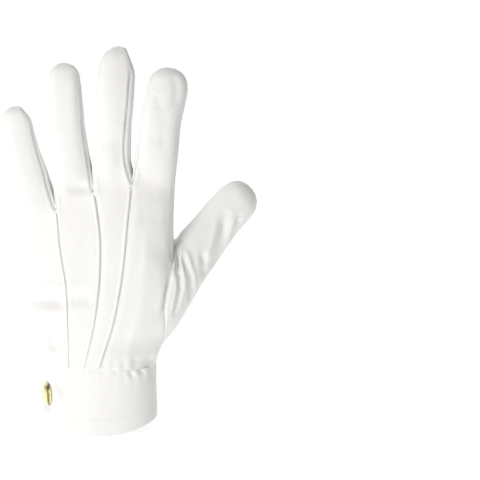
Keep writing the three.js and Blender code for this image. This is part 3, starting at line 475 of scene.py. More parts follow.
class Cage:
    """The coarse net of the whole glove above the cuff. Each cell belongs to one piece of cloth."""

    def __init__(self):
        self.points = []
        self.cells = []
        self.thumb_cut = []
        self.hand()
        for f in range(4):
            self.finger(f)
        self.thumb()

    def add(self, point):
        self.points.append(point.copy())
        return len(self.points) - 1

    def hand_id(self, row, column):
        return self.grid[row][column % HAND_COLUMNS]

    def hand(self):
        self.grid = []
        for row in range(HAND_ROWS + 1):
            moved = [around_hole(column, row) for column in range(HAND_COLUMNS)]
            self.grid.append([self.add(hand_point(c, r / HAND_ROWS)) for c, r in moved])
        half = SIDE_COLUMNS / 2
        for row in range(HAND_ROWS):
            for column in range(HAND_COLUMNS):
                in_rows = HOLE["row0"] <= row < HOLE["row1"]
                if in_rows and HOLE["column0"] <= column < HOLE["column1"]:
                    continue
                is_back = column < BACK_END + half or column >= PALM_END + half
                corners = ((row, column), (row, column + 1), (row + 1, column + 1),
                           (row + 1, column))
                self.cells.append(("back_panel" if is_back else "palm_panel",
                                   [self.hand_id(r, c) for r, c in corners]))
        self.crotches = []
        for line in (1, 2, 3):
            back = self.hand_id(HAND_ROWS, line * FINGER_COLUMNS)
            palm = self.hand_id(HAND_ROWS, self.palm_column(line))
            inner = []
            for k in range(1, SIDE_COLUMNS):
                rise = UP * (CROTCH_RISE * math.sin(math.pi * k / SIDE_COLUMNS))
                between = self.points[back].lerp(self.points[palm], k / SIDE_COLUMNS)
                inner.append(self.add(between + rise))
            self.crotches.append([back, *inner, palm])

    @staticmethod
    def palm_column(line):
        return PALM_START + (4 - line) * FINGER_COLUMNS

    def base_loop(self, f):
        """The closed loop that finger f grows from: back, thumb side, palm, little finger side."""
        def top(a, b):
            return [self.hand_id(HAND_ROWS, column) for column in span(a, b)]

        back = top(f * FINGER_COLUMNS, (f + 1) * FINGER_COLUMNS)
        radial = top(BACK_END, PALM_START) if f == 3 else self.crotches[f]
        palm = top(self.palm_column(f + 1), self.palm_column(f))
        ulnar = top(PALM_END, HAND_COLUMNS) if f == 0 else self.crotches[f - 1][::-1]
        return [i for ids in (back, radial, palm, ulnar) for i in ids[:-1]]

    def centroid(self, ids):
        return sum((self.points[i] for i in ids), Vector()) / len(ids)

    def ring_up(self, lower, upper, name):
        """Cells between two rings, named by a function of the place round them."""
        for k, ((a, b), (d, c)) in enumerate(zip(round_pairs(lower), round_pairs(upper))):
            self.cells.append((name(k), [a, b, c, d]))

    def close(self, lower, tip, name):
        for k, (a, b) in enumerate(round_pairs(lower)):
            self.cells.append((name(k), [a, b, tip]))

    def finger(self, f):
        finger = FINGERS[f]
        loop = self.base_loop(f)
        start = self.centroid(loop)
        line = Limb(start, finger["sections"])
        stops = line.stops(SHAFT_ROWS, finger["fullness"])
        lower = loop
        for ring, (at, narrow) in enumerate(stops[1:], 1):
            centre, along = line.centre(at), line.direction(at)
            across = (Vector((1, 0, 0)) - along * along.x).normalized()
            palmward = along.cross(across)
            width = line.sized(WIDTH, at) * narrow
            depth = line.sized(DEPTH, at) * narrow
            blend = 1 - (1 - min(1.0, at / BASE_BLEND)) ** 2
            turn = TIP_TURN * smooth(ring - STRIP_END) if f < 3 else 0
            angles = ring_angles(seam_angle(finger["radial_seam"], ring, f < 3),
                                 seam_angle(finger["ulnar_seam"], ring, f > 0), turn)
            upper = []
            for k, angle in enumerate(angles):
                out = across * (width / 2 * power(math.cos(angle), 2 / FINGER_ROUND))
                out += palmward * (-depth / 2 * power(math.sin(angle), 2 / FINGER_ROUND))
                straight = self.points[loop[k]] - start + centre
                upper.append(self.add(straight.lerp(centre + out, blend)))
            self.ring_up(lower, upper, lambda k: finger_piece(f, ring - 1, k))
            lower = upper
        tip = self.add(line.centre(line.total))
        self.close(lower, tip, lambda k: finger_piece(f, len(stops), k))

    def normals(self):
        """Outward directions at every point: each cell counts by its angle at the point."""
        sums = [Vector() for _ in self.points]
        for _, corners in self.cells:
            for k, i in enumerate(corners):
                ahead = self.points[corners[(k + 1) % len(corners)]] - self.points[i]
                behind = self.points[corners[k - 1]] - self.points[i]
                sums[i] += ahead.cross(behind).normalized() * ahead.angle(behind)
        return [n.normalized() for n in sums]

    def thumb(self):
        r0, r1, c0, c1 = HOLE["row0"], HOLE["row1"], HOLE["column0"], HOLE["column1"]
        round_hole = [(r0, c) for c in span(c0, c1 - 1)] + [(r, c1) for r in span(r0, r1 - 1)]
        round_hole += [(r1, c) for c in span(c1, c0 + 1)] + [(r, c0) for r in span(r1, r0 + 1)]
        hole = [self.hand_id(r, c) for r, c in round_hole]
        angles = [math.atan2(2 * (r - r0) / (r1 - r0) - 1, 2 * (c - c0) / (c1 - c0) - 1)
                  for r, c in round_hole]
        line = Limb(self.centroid(hole), THUMB)

        def ring(at, narrow):
            centre, along = line.centre(at), line.direction(at)
            palmward = (PALMWARD - along * along.y).normalized()
            inward = along.cross(palmward)
            depth = palmward * (line.sized(DEPTH, at) * narrow / 2)
            width = inward * (line.sized(WIDTH, at) * narrow / 2)
            return [centre + depth * math.cos(angle) + width * math.sin(angle) for angle in angles]

        first = ring(line.first_section, 1)
        outward = self.normals()
        end_way = line.direction(line.first_section)
        rings = []
        for j in range(1, FLARE_ROWS):
            start, leave, end, arrive = hermite(j / FLARE_ROWS)
            row = []
            for i, place in zip(hole, first):
                foot = self.points[i]
                way = place - foot
                row.append(foot * start + (way + outward[i] * FLARE_OUT) * leave
                           + place * end + end_way * (way.length * arrive))
            rings.append(row)
        stops = line.stops(THUMB_ROWS, THUMB_FULLNESS, line.first_section)
        rings += [ring(*stop) for stop in stops]
        lower = hole
        self.thumb_cut.append(hole[THUMB_SEAM])
        for row in rings:
            upper = [self.add(p) for p in row]
            self.thumb_cut.append(upper[THUMB_SEAM])
            self.ring_up(lower, upper, lambda k: "thumb")
            lower = upper
        tip = self.add(line.centre(line.total))
        self.close(lower, tip, lambda k: "thumb")


def read(items, key, kind=float, width=1):
    """One property of all items of a mesh as an array, with a row for each if it is a vector."""
    values = np.empty(len(items) * width, kind)
    items.foreach_get(key, values)
    return values.reshape(-1, width) if width > 1 else values


def read_places(mesh):
    return read(mesh.vertices, "co", width=3)


def new_object(name, places, faces, material=None, edges=()):
    """A new object in the scene from places in metres, with its faces shaded smooth."""
    mesh = bpy.data.meshes.new(name)
    mesh.from_pydata(places, edges, faces)
    if len(faces):
        mesh.polygons.foreach_set("use_smooth", np.ones(len(faces), bool))
    if material:
        mesh.materials.append(material)
    obj = bpy.data.objects.new(name, mesh)
    bpy.context.scene.collection.objects.link(obj)
    return obj


def finished_mesh(obj, modifier):
    """The mesh of an object under its modifier, which is then removed."""
    graph = bpy.context.evaluated_depsgraph_get()
    mesh = bpy.data.meshes.new_from_object(obj.evaluated_get(graph))
    obj.modifiers.remove(modifier)
    return mesh


def subdivided(obj, levels):
    modifier = obj.modifiers.new("Subdivision", "SUBSURF")
    modifier.levels = modifier.render_levels = levels
    modifier.uv_smooth = "PRESERVE_BOUNDARIES"
    return finished_mesh(obj, modifier)


def add_up(total, ids, values):
    """Adds each vector to the total of its point."""
    for axis in range(3):
        total[:, axis] += np.bincount(ids, values[:, axis], len(total))


def face_ways(co, faces):
    """Directions of four-cornered faces, as long as twice their area."""
    a, b, c, d = (co[faces[:, k]] for k in range(4))
    return np.cross(c - a, d - b)


def quad_normals(co, faces):
    """Outward directions at the points of a net of four-cornered faces."""
    ways = face_ways(co, faces)
    total = np.zeros_like(co)
    for k in range(4):
        add_up(total, faces[:, k], ways)
    return unit(total)


def unwrap_net(obj, cage):
    """Lays every piece flat, in millimetres, with the knit's ribs running up the glove."""
    mesh = obj.data
    labels = [PIECES.index(piece) for piece, _ in cage.cells]
    owner = {}
    for label, (_, corners) in zip(labels, cage.cells):
        for pair in round_pairs(corners):
            owner.setdefault(tuple(sorted(pair)), set()).add(label)
    cut = {tuple(sorted(pair)) for pair in zip(cage.thumb_cut, cage.thumb_cut[1:])}
    for edge in mesh.edges:
        key = tuple(sorted(edge.vertices))
        edge.use_seam = len(owner[key]) > 1 or key in cut
    mesh.uv_layers.new(name="cloth")
    bpy.context.view_layer.objects.active = obj
    obj.select_set(True)
    bpy.ops.object.mode_set(mode="EDIT")
    bpy.ops.mesh.select_all(action="SELECT")
    bpy.ops.uv.unwrap(method="ANGLE_BASED", margin=0)
    bpy.ops.object.mode_set(mode="OBJECT")
    layer = mesh.uv_layers["cloth"].uv
    uv = read(layer, "vector", width=2)
    places = read_places(mesh)[read(mesh.loops, "vertex_index", int)] / MM
    thumb_way = np.array(Vector(THUMB[2][:3]) - Vector(THUMB[0][:3]))
    for label, piece in enumerate(PIECES):
        mask = np.zeros(len(uv), bool)
        flat_area = real_area = 0.0
        for poly in mesh.polygons:
            if labels[poly.index] == label:
                ids = list(poly.loop_indices)
                mask[ids] = True
                u, v = uv[ids, 0], uv[ids, 1]
                flat_area += abs(np.dot(u, np.roll(v, -1)) - np.dot(v, np.roll(u, -1))) / 2
                real_area += poly.area / MM ** 2
        spot = places[mask]
        along = spot[:, 2]
        if piece == "thumb":
            along = spot @ thumb_way
        elif piece in STRIPS:
            crotch = HAND_LINES[STRIPS.index(piece) + 1]
            along = (along - crotch["z"][-1]) * np.sign(spot[:, 0] - crotch["x"][-1])
        flat = uv[mask, 0] + 1j * uv[mask, 1]
        flat = (flat - flat.mean()) * math.sqrt(real_area / flat_area)
        turn = np.sum((along - along.mean()) * flat)
        flat = flat * np.exp(1j * (math.pi / 2 - np.angle(turn)))
        uv[mask] = np.column_stack([flat.real, flat.imag])
    layer.foreach_set("vector", uv.ravel())


def border_of(faces, labels):
    """Edges between pieces of cloth, and along the rim, as pairs of points with two labels."""
    corners = np.stack([faces, np.roll(faces, -1, axis=1)], axis=2).reshape(-1, 2)
    owner = np.repeat(labels, 4)
    low, high = corners.min(axis=1), corners.max(axis=1)
    order = np.lexsort((high, low))
    low, high, owner = low[order], high[order], owner[order]
    first = np.nonzero((low[1:] == low[:-1]) & (high[1:] == high[:-1]))[0]
    between = first[owner[first] != owner[first + 1]]
    alone = np.ones(len(low), bool)
    alone[first] = alone[first + 1] = False
    rim = np.nonzero(alone)[0]
    edges = np.column_stack([low, high])[np.concatenate([between, rim])]
    pairs = np.concatenate([np.column_stack([owner[between], owner[between + 1]]),
                            np.column_stack([owner[rim], np.full(len(rim), RIM)])])
    return edges, pairs


def nearest(points, places):
    """For every place the number of the nearest of some points, and how far it is."""
    tree = KDTree(len(points))
    for k, p in enumerate(points):
        tree.insert(p, k)
    tree.balance()
    found = [tree.find(p) for p in places]
    return np.array([f[1] for f in found]), np.array([f[2] for f in found])


def chain_lengths(edges, co):
    """Length along the seams at each of their points, counted on from one point to the next."""
    neighbours = {}
    for a, b in edges.tolist():
        neighbours.setdefault(a, []).append(b)
        neighbours.setdefault(b, []).append(a)
    lengths = {}
    for start in sorted(neighbours, key=lambda i: (len(neighbours[i]) == 2, i)):
        if start in lengths:
            continue
        lengths[start] = 0.0
        stack = [start]
        while stack:
            i = stack.pop()
            for j in neighbours[i]:
                if j not in lengths:
                    lengths[j] = lengths[i] + float(np.linalg.norm(co[j] - co[i]))
                    stack.append(j)
    return lengths


@cache
def seam_samples():
    """Columns and places along the wrist seam, and the length from the little finger's edge."""
    columns = np.arange(0, HAND_COLUMNS + SEAM_STEP / 2, SEAM_STEP)
    places = np.array([hand_point(c, 0) for c in columns])
    steps = np.linalg.norm(np.diff(places, axis=0), axis=1)
    return columns, places, np.concatenate([[0], np.cumsum(steps)])


def gather_wave(column, distance):
    """How much of a gather's wave stands at hand columns and distances from the wrist seam."""
    turn = math.pi * (column - GATHER["start"]) / (GATHER["end"] - GATHER["start"])
    share = np.clip(np.sin(np.clip(turn, 0, math.pi)) * GATHER["ends"], 0, 1)
    fade = smooth(1 - distance / GATHER["fade"])
    columns, _, length = seam_samples()
    wave = np.cos(2 * math.pi * np.interp(column, columns, length) / GATHER["pitch"])
    return share * fade * wave


def stroke_push(x, z, stroke):
    """How far each place is pressed in by one fold."""
    line = np.array(stroke.line, float)
    spans = np.linalg.norm(np.diff(line, axis=0), axis=1)
    before = np.concatenate([[0], np.cumsum(spans)])
    best = np.full(len(x), np.inf)
    share = np.zeros(len(x))
    for k, length in enumerate(spans):
        dx, dz = (line[k + 1] - line[k]) / length
        along = np.clip((x - line[k, 0]) * dx + (z - line[k, 1]) * dz, 0, length)
        away = np.hypot(x - line[k, 0] - along * dx, z - line[k, 1] - along * dz)
        nearer = away < best
        best = np.where(nearer, away, best)
        share = np.where(nearer, (before[k] + along) / before[-1], share)
    half = stroke.width / 2
    fade = smooth(share / stroke.taper), smooth((1 - share) / stroke.taper)
    ends = stroke.ends + (1 - stroke.ends) * fade[0] * fade[1]
    ridge = stroke.ridge * bell((best - RIDGE_PLACE * half) / (RIDGE_WIDTH * half))
    return stroke.depth * ends * (bell(best / half) - ridge)


def cut_tip(co, cut):
    """Flattens the thumb side of a fingertip to a plane through the cut's two places."""
    (x0, z0), (x1, z1) = cut["start"], cut["end"]
    lean = math.radians(CUT_LEAN)
    length = math.hypot(x1 - x0, z1 - z0)
    normal = np.array([(z0 - z1) / length * math.cos(lean), -math.sin(lean),
                       (x1 - x0) / length * math.cos(lean)])
    beyond = (co - np.array([x0, cut["y"], z0])) @ normal
    left, right, below = CUT_REACH
    near = (co[:, 0] > x0 - left) & (co[:, 0] < x1 + right) & (co[:, 2] > z1 - below)
    held = -CUT_SOFT * np.logaddexp(0, -beyond / CUT_SOFT)
    return np.where(near[:, None], co + normal * (held - beyond)[:, None], co)


def left_low(row, z):
    """The share of a raised point and its groove that stands at heights z."""
    return row["low"] + (1 - row["low"]) * smooth(ramp(z, POINT_LOW))


def groove_push(x, z, row):
    """How far the cloth sinks on the thumb side of a raised point."""
    shares = np.linspace(POINT["bottom"], POINT["top"], GROOVE["rows"])
    line = np.array([hand_point(row["line"] * FINGER_COLUMNS, t) for t in shares])
    line = line[np.argsort(line[:, 2])]
    middle = np.interp(z, line[:, 2], line[:, 0]) + row["shift"]
    slope = np.interp(z, line[:, 2], np.gradient(line[:, 0], line[:, 2]))
    beside = (x - middle) / np.sqrt(1 + slope ** 2)
    inside = (smooth((z - line[:, 2].min()) / GROOVE["fade"])
              * smooth((line[:, 2].max() - z) / GROOVE["fade"]))
    width = row["width"] * np.where(beside > GROOVE["place"], GROOVE["slope"], 1)
    return row["depth"] * inside * left_low(row, z) * bell((beside - GROOVE["place"]) / width)


def wrinkle_noise(co, wrinkle):
    """Seeded noise at places in millimetres, as wide and long as the wrinkle."""
    scale = 1 / np.array([wrinkle["across"], wrinkle["across"], wrinkle["along"]])
    return np.array([noise.noise(p) for p in (co * scale + wrinkle["seed"]).tolist()])


def seam_shares(co, rim, edges, pairs):
    """How deep the seam is at each of its points.

    It is shallow at the wrist, round the thumb and across a strip's end."""
    share = np.ones(len(edges))
    way = co[edges[:, 1]] - co[edges[:, 0]]
    across = np.abs(way[:, 2]) < LEVEL_RISE * np.linalg.norm(way, axis=1)
    strip = np.isin(pairs, [PIECES.index(piece) for piece in STRIPS]).any(axis=1)
    share[strip & across & (co[edges[:, 0], 2] > STRIP_TOPS)] = 0
    share[(pairs == THUMB_PIECE).any(axis=1)] = THUMB_SEAM_SHARE
    share[pairs[:, 1] == RIM] = WRIST_SEAM
    place = np.zeros(rim.max() + 1, int)
    place[rim] = np.arange(len(rim))
    a, b = place[edges[:, 0]], place[edges[:, 1]]
    value = np.ones(len(rim))
    for end in (a, b):
        np.minimum.at(value, end, share)
    for _ in range(SEAM_EVENING):
        total, count = value.copy(), np.ones(len(rim))
        for end, other in ((a, b), (b, a)):
            np.add.at(total, end, value[other])
            np.add.at(count, end, 1)
        value = total / count
    return value


def untangled(co, faces):
    """The net, evened out wherever a cell is folded over against its neighbours."""
    ends = np.concatenate([faces[:, [k, (k + 1) % 4]] for k in range(4)])
    count = np.bincount(ends.ravel(), minlength=len(co))
    co = co.copy()
    tight = np.linalg.norm(co - np.array(WEB["place"]), axis=1) < WEB["reach"]
    for step in range(TANGLE_ROUNDS):
        normals = quad_normals(co, faces)
        own = unit(face_ways(co, faces))
        agreement = [np.sum(normals[faces[:, k]] * own, axis=1) for k in range(4)]
        folded = np.min(agreement, axis=0) < TANGLE
        if not folded.any():
            break
        hot = np.zeros(len(co), bool)
        hot[faces[folded]] = True
        if step < WEB["rounds"]:
            hot |= tight
        for _ in range(TANGLE_SPREAD):
            hot[faces[hot[faces].any(axis=1)]] = True
        even = np.zeros_like(co)
        for a, b in ((0, 1), (1, 0)):
            add_up(even, ends[:, a], co[ends[:, b]])
        co[hot] += EVENING * (even[hot] / count[hot, None] - co[hot])
    return co


def dress(co, faces, labels, edges, pairs):
    """Presses folds, seams, gathers and fine wrinkles into the smooth net."""
    for cut in TIP_CUTS:
        co = cut_tip(co, cut)
    co = untangled(co, faces)
    normals = quad_normals(co, faces)
    off_thumb = np.ones(len(co), bool)
    off_thumb[faces[labels == THUMB_PIECE]] = False
    x, z = co[:, 0], co[:, 2]
    push, deep = np.zeros(len(co)), np.zeros(len(co))
    to_back = smooth(-normals[:, 1] * FACING)
    to_palm = smooth(normals[:, 1] * FACING)
    for strokes, mask in ((BACK_STROKES, to_back * off_thumb), (THUMB_STROKES, to_back),
                          (PALM_STROKES, to_palm * off_thumb)):
        for stroke in strokes:
            pressed = deep if stroke.straight else push
            pressed += stroke_push(x, z, stroke) * mask

    rim = np.unique(edges)
    which, away = nearest(co[rim], co)
    lengths = chain_lengths(edges, co)
    along = np.array([lengths[i] for i in rim.tolist()])[which]
    share = seam_shares(co, rim, edges, pairs)[which]
    push += SEAM_SINK * share * bell(away / SEAM_REACH)
    push -= LIP["height"] * np.sqrt(share) * bell((away - LIP["place"]) / LIP["width"])
    pucker = np.sin(2 * math.pi * along / PUCKER["pitch"])
    pucker = pucker * (1 + PUCKER["uneven"] * np.sin(along / PUCKER["beat"]))
    push += PUCKER["height"] * pucker * bell(away / PUCKER["reach"]) * smooth(away / SEAM_REACH)

    for row in POINT_ROWS:
        push += groove_push(x, z, row) * to_back * off_thumb

    near = z < CUFF_TOP + GATHER["fade"]
    columns, places, _ = seam_samples()
    index, _ = nearest([(p[0], p[1], 0) for p in places], [(p[0], p[1], 0) for p in co[near]])
    wave = gather_wave(columns[index], z[near] - CUFF_TOP)
    push[near] -= GATHER["calm"] * GATHER["height"] / 2 * wave

    calm = smooth(away / SEAM_CALM)
    for wrinkle in WRINKLES:
        push += wrinkle["height"] * calm * wrinkle_noise(co, wrinkle)
    pressed = co - normals * push[:, None] + np.array(PALMWARD) * deep[:, None]
    return untangled(pressed, faces)


Net = namedtuple("Net", "co normals faces labels uv edges pairs")


@cache
def dressed_net():
    """The glove above the cuff as one fine net, in millimetres."""
    cage = Cage()
    obj = new_object("glove_net", [tuple(p * MM) for p in cage.points],
                     [corners for _, corners in cage.cells])
    mesh = obj.data
    label = mesh.attributes.new("piece", "INT", "FACE")
    label.data.foreach_set("value", [PIECES.index(piece) for piece, _ in cage.cells])
    unwrap_net(obj, cage)
    aim = read_places(mesh)
    for _ in range(CORRECTIONS):
        smoothed = subdivided(obj, 1)
        reached = read_places(smoothed)[:len(aim)]
        mesh.vertices.foreach_set("co", (read_places(mesh) + aim - reached).ravel())
        mesh.update()
        bpy.data.meshes.remove(smoothed)
    fine = subdivided(obj, DETAIL)
    co = read_places(fine) / MM
    faces = read(fine.loops, "vertex_index", int).reshape(-1, 4)
    labels = read(fine.attributes["piece"].data, "value", int)
    uv = read(fine.uv_layers["cloth"].uv, "vector", width=2).reshape(-1, 4, 2)
    bpy.data.meshes.remove(fine)
    bpy.data.objects.remove(obj)
    bpy.data.meshes.remove(mesh)
    edges, pairs = border_of(faces, labels)
    co = dress(co, faces, labels, edges, pairs)
    return Net(co, quad_normals(co, faces), faces, labels, uv, edges, pairs)


@cache
def net_tree():
    """A search tree over the dressed net's outer faces."""
    net = dressed_net()
    return BVHTree.FromPolygons(net.co.tolist(), net.faces.tolist())


def linear(hex_colour):
    """An sRGB hex colour as linear red, green, blue and alpha."""
    channels = [int(hex_colour[k:k + 2], 16) / 255 for k in (1, 3, 5)]
    return (*(c / 12.92 if c <= 0.04045 else ((c + 0.055) / 1.055) ** 2.4 for c in channels), 1.0)


def add_node(tree, kind, **values):
    """One node. Lower-case keys are its settings, which come first; the others are its inputs.

    An input goes by its name or as _number, and is a value or the (node, output) that feeds it."""
    node = tree.nodes.new(kind)
    for key, value in values.items():
        if key[0].islower():
            setattr(node, key, value)
            continue
        socket = node.inputs[int(key[1:]) if key[0] == "_" else key.replace("_", " ")]
        if isinstance(value, tuple) and isinstance(value[0], bpy.types.Node):
            tree.links.new(value[0].outputs[value[1]], socket)
        else:
            socket.default_value = value
    return node


def as_material(shader):
    """Makes the material of a function that adds its nodes and gives the shader, once."""
    @wraps(shader)
    def made():
        name = shader.__name__
        if name in bpy.data.materials:
            return bpy.data.materials[name]
        material = bpy.data.materials.new(name)
        material.use_nodes = True
        tree = material.node_tree
        tree.nodes.clear()
        add_node(tree, "ShaderNodeOutputMaterial", Surface=(shader(tree), 0))
        return material
    return made


@as_material
def cotton_knit(tree):
    """Bleached cotton, fine warp knit, washed: matt, with a soft bright fuzz where it turns away.

    The real ribs are about 0.6 mm apart. They are drawn at 1.1 mm, as coarse as the picture can
    show."""
    cloth = bpy.context.scene.glove_cloth
    add = partial(add_node, tree)
    uv = add("ShaderNodeUVMap", uv_map="cloth")
    flat = add("ShaderNodeSeparateXYZ", _0=(uv, 0))
    across = add("ShaderNodeMath", operation="DIVIDE", _0=(flat, 0), _1=RIB_PITCH)
    zigzag = add("ShaderNodeMath", operation="PINGPONG", _0=(across, 0), _1=0.5)
    lean = add("ShaderNodeMath", operation="MULTIPLY_ADD", _0=(flat, 1), _1=1 / LOOP_PITCH,
               _2=(zigzag, 0))
    lean_turn = add("ShaderNodeMath", operation="MULTIPLY", _0=(lean, 0), _1=2 * math.pi)
    wave = add("ShaderNodeMath", operation="SINE", _0=(lean_turn, 0))
    rib_turn = add("ShaderNodeMath", operation="MULTIPLY", _0=(across, 0), _1=2 * math.pi)
    ribs = add("ShaderNodeMath", operation="COSINE", _0=(rib_turn, 0))
    knit = add("ShaderNodeMath", operation="MULTIPLY_ADD", _0=(wave, 0), _1=0.4, _2=(ribs, 0))
    place = add("ShaderNodeTexCoord")
    fuzz = add("ShaderNodeTexNoise", Vector=(place, "Object"), Scale=2600.0, Detail=2.0)
    height = add("ShaderNodeMath", operation="MULTIPLY_ADD", _0=(fuzz, 0), _1=0.8, _2=(knit, 0))
    bump = add("ShaderNodeBump", Strength=0.11, Distance=0.00012, Height=(height, 0))
    cloud = add("ShaderNodeTexNoise", Vector=(place, "Object"), Scale=38.0, Detail=3.0)
    tint = add("ShaderNodeMix", data_type="RGBA", Factor=(cloud, 0),
               _6=(*cloth.colour, 1), _7=(*cloth.warm_colour, 1))
    rough = add("ShaderNodeMapRange", Value=(cloud, 0), To_Min=0.78, To_Max=0.92)
    return add("ShaderNodeBsdfPrincipled", Base_Color=(tint, 2), Roughness=(rough, 0),
               Normal=(bump, 0), Sheen_Weight=0.15, Sheen_Roughness=0.45, Specular_IOR_Level=0.25)


@as_material
def cotton_thread(tree):
    """Mercerised cotton sewing thread, twisted: a little smoother and brighter than the knit."""
    add = partial(add_node, tree)
    place = add("ShaderNodeTexCoord")
    twist = add("ShaderNodeTexWave", bands_direction="DIAGONAL", Vector=(place, "Object"),
                Scale=1400.0, Distortion=0.5)
    bump = add("ShaderNodeBump", Strength=0.3, Distance=0.00006, Height=(twist, 1))
    cloud = add("ShaderNodeTexNoise", Vector=(place, "Object"), Scale=160.0)
    tint = add("ShaderNodeMix", data_type="RGBA", Factor=(cloud, 0),
               _6=linear("#f4f2ee"), _7=linear("#e9e6e0"))
    return add("ShaderNodeBsdfPrincipled", Base_Color=(tint, 2), Roughness=0.6,
               Normal=(bump, 0), Sheen_Weight=0.1)


@as_material
def lacquered_brass(tree):
    """Stamped brass under clear lacquer, softly polished: pale gold with dull hairlines.

    A painted dark reflection, an olive streak, runs down one side of the cap where the dome faces
    the dim room."""
    snap = bpy.context.scene.glove_snap
    add = partial(add_node, tree)
    place = add("ShaderNodeTexCoord")
    hair = add("ShaderNodeTexNoise", Vector=(place, "Object"), Scale=900.0, Detail=3.0)
    cloud = add("ShaderNodeTexNoise", Vector=(place, "Object"), Scale=220.0, Detail=2.0)
    tint = add("ShaderNodeMix", data_type="RGBA", Factor=(cloud, 0),
               _6=(*snap.colour, 1), _7=linear("#e6d996"))
    # Painted dark reflection: an olive streak mixed into the brass colour at a fixed place across
    # the cap, standing in for the dim room that the dome mirrors.
    spot = add("ShaderNodeSeparateXYZ", _0=(place, "Object"))
    aside = add("ShaderNodeMath", operation="SUBTRACT", _0=(spot, 0), _1=snap.streak)
    away = add("ShaderNodeMath", operation="ABSOLUTE", _0=(aside, 0))
    edge = add("ShaderNodeMath", operation="DIVIDE", _0=(away, 0), _1=PAINTED_REFLECTION_WIDTH * MM)
    streak = add("ShaderNodeMapRange", interpolation_type="SMOOTHSTEP", Value=(edge, 0),
                 From_Min=0.3, From_Max=1.0, To_Min=1.0, To_Max=0.0)
    with_painted_reflection = add("ShaderNodeMix", data_type="RGBA", Factor=(streak, 0), _6=(tint, 2),
                 _7=linear("#7d7850"))
    rough = add("ShaderNodeMapRange", Value=(hair, 0), To_Min=0.3, To_Max=0.46)
    bump = add("ShaderNodeBump", Strength=0.12, Distance=0.00004, Height=(hair, 0))
    return add("ShaderNodeBsdfPrincipled", Base_Color=(with_painted_reflection, 2), Roughness=(rough, 0),
               Metallic=1.0, Normal=(bump, 0), Coat_Weight=0.6, Coat_Roughness=0.2)


@as_material
def studio_paper(tree):
    """Coated studio paper, matt: an even white that glows where the lit backdrop shines through."""
    add = partial(add_node, tree)
    place = add("ShaderNodeTexCoord")
    tooth = add("ShaderNodeTexNoise", Vector=(place, "Object"), Scale=300.0, Detail=2.0)
    bump = add("ShaderNodeBump", Strength=0.05, Distance=0.0002, Height=(tooth, 0))
    return add("ShaderNodeBsdfPrincipled", Base_Color=linear("#f4f4f3"), Roughness=0.9,
               Normal=(bump, 0), Emission_Color=linear("#ffffff"),
               Emission_Strength=bpy.context.scene.glove_stage.backdrop)


def declare(obj, slot, *nodes):
    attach(obj, BODY)
    if nodes:
        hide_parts(*nodes)


def cloth_object(name, co, faces, uv, crisp):
    """A piece of cloth from its outer face in millimetres: it gets its wall inwards.

    At the crisp border points the outer face keeps its own shading up to the edge."""
    obj = new_object(name, (co * MM).tolist(), faces.tolist(), cotton_knit())
    mesh = obj.data
    sharp = mesh.attributes.new("sharp_edge", "BOOLEAN", "EDGE")
    ends = read(mesh.edges, "vertices", int, 2)
    sharp.data.foreach_set("value", np.isin(ends, crisp).all(axis=1))
    layer = mesh.uv_layers.new(name="cloth")
    layer.uv.foreach_set("vector", uv.reshape(-1).astype(float))
    solid = obj.modifiers.new("Wall", "SOLIDIFY")
    solid.thickness = bpy.context.scene.glove_cloth.wall
    solid.offset = -1
    return obj


def cloth_piece(piece):
    """One piece of the net, drawn back from its seams, as an object in place of its node."""
    net = dressed_net()
    label = PIECES.index(piece)
    own = net.labels == label
    faces = net.faces[own]
    border = np.unique(net.edges[(net.pairs == label).any(axis=1)])
    wrist = np.unique(net.edges[net.pairs[:, 1] == RIM])
    ids = np.unique(faces)
    co = net.co[ids]
    lookup = np.full(len(net.co), -1)
    lookup[ids] = np.arange(len(ids))
    local = lookup[faces]
    middle = co[local].mean(axis=1)
    inward = np.zeros_like(co)
    for k in range(4):
        add_up(inward, local[:, k], middle - co[local[:, k]])
    edge = lookup[border]
    normal = net.normals[ids][edge]
    pull = inward[edge]
    pull -= normal * np.sum(pull * normal, axis=1, keepdims=True)
    gap = np.where(np.isin(border, wrist), WRIST_GAP, BORDER_GAP)
    co[edge] += unit(pull) * gap[:, None]
    thumb = np.unique(net.edges[(net.pairs == THUMB_PIECE).any(axis=1)])
    crisp = lookup[np.intersect1d(ids, np.union1d(wrist, thumb))]
    obj = cloth_object(f"cotton_{piece}", co, local, net.uv[own], crisp)
    declare(obj, CLOTH_SLOT, piece)


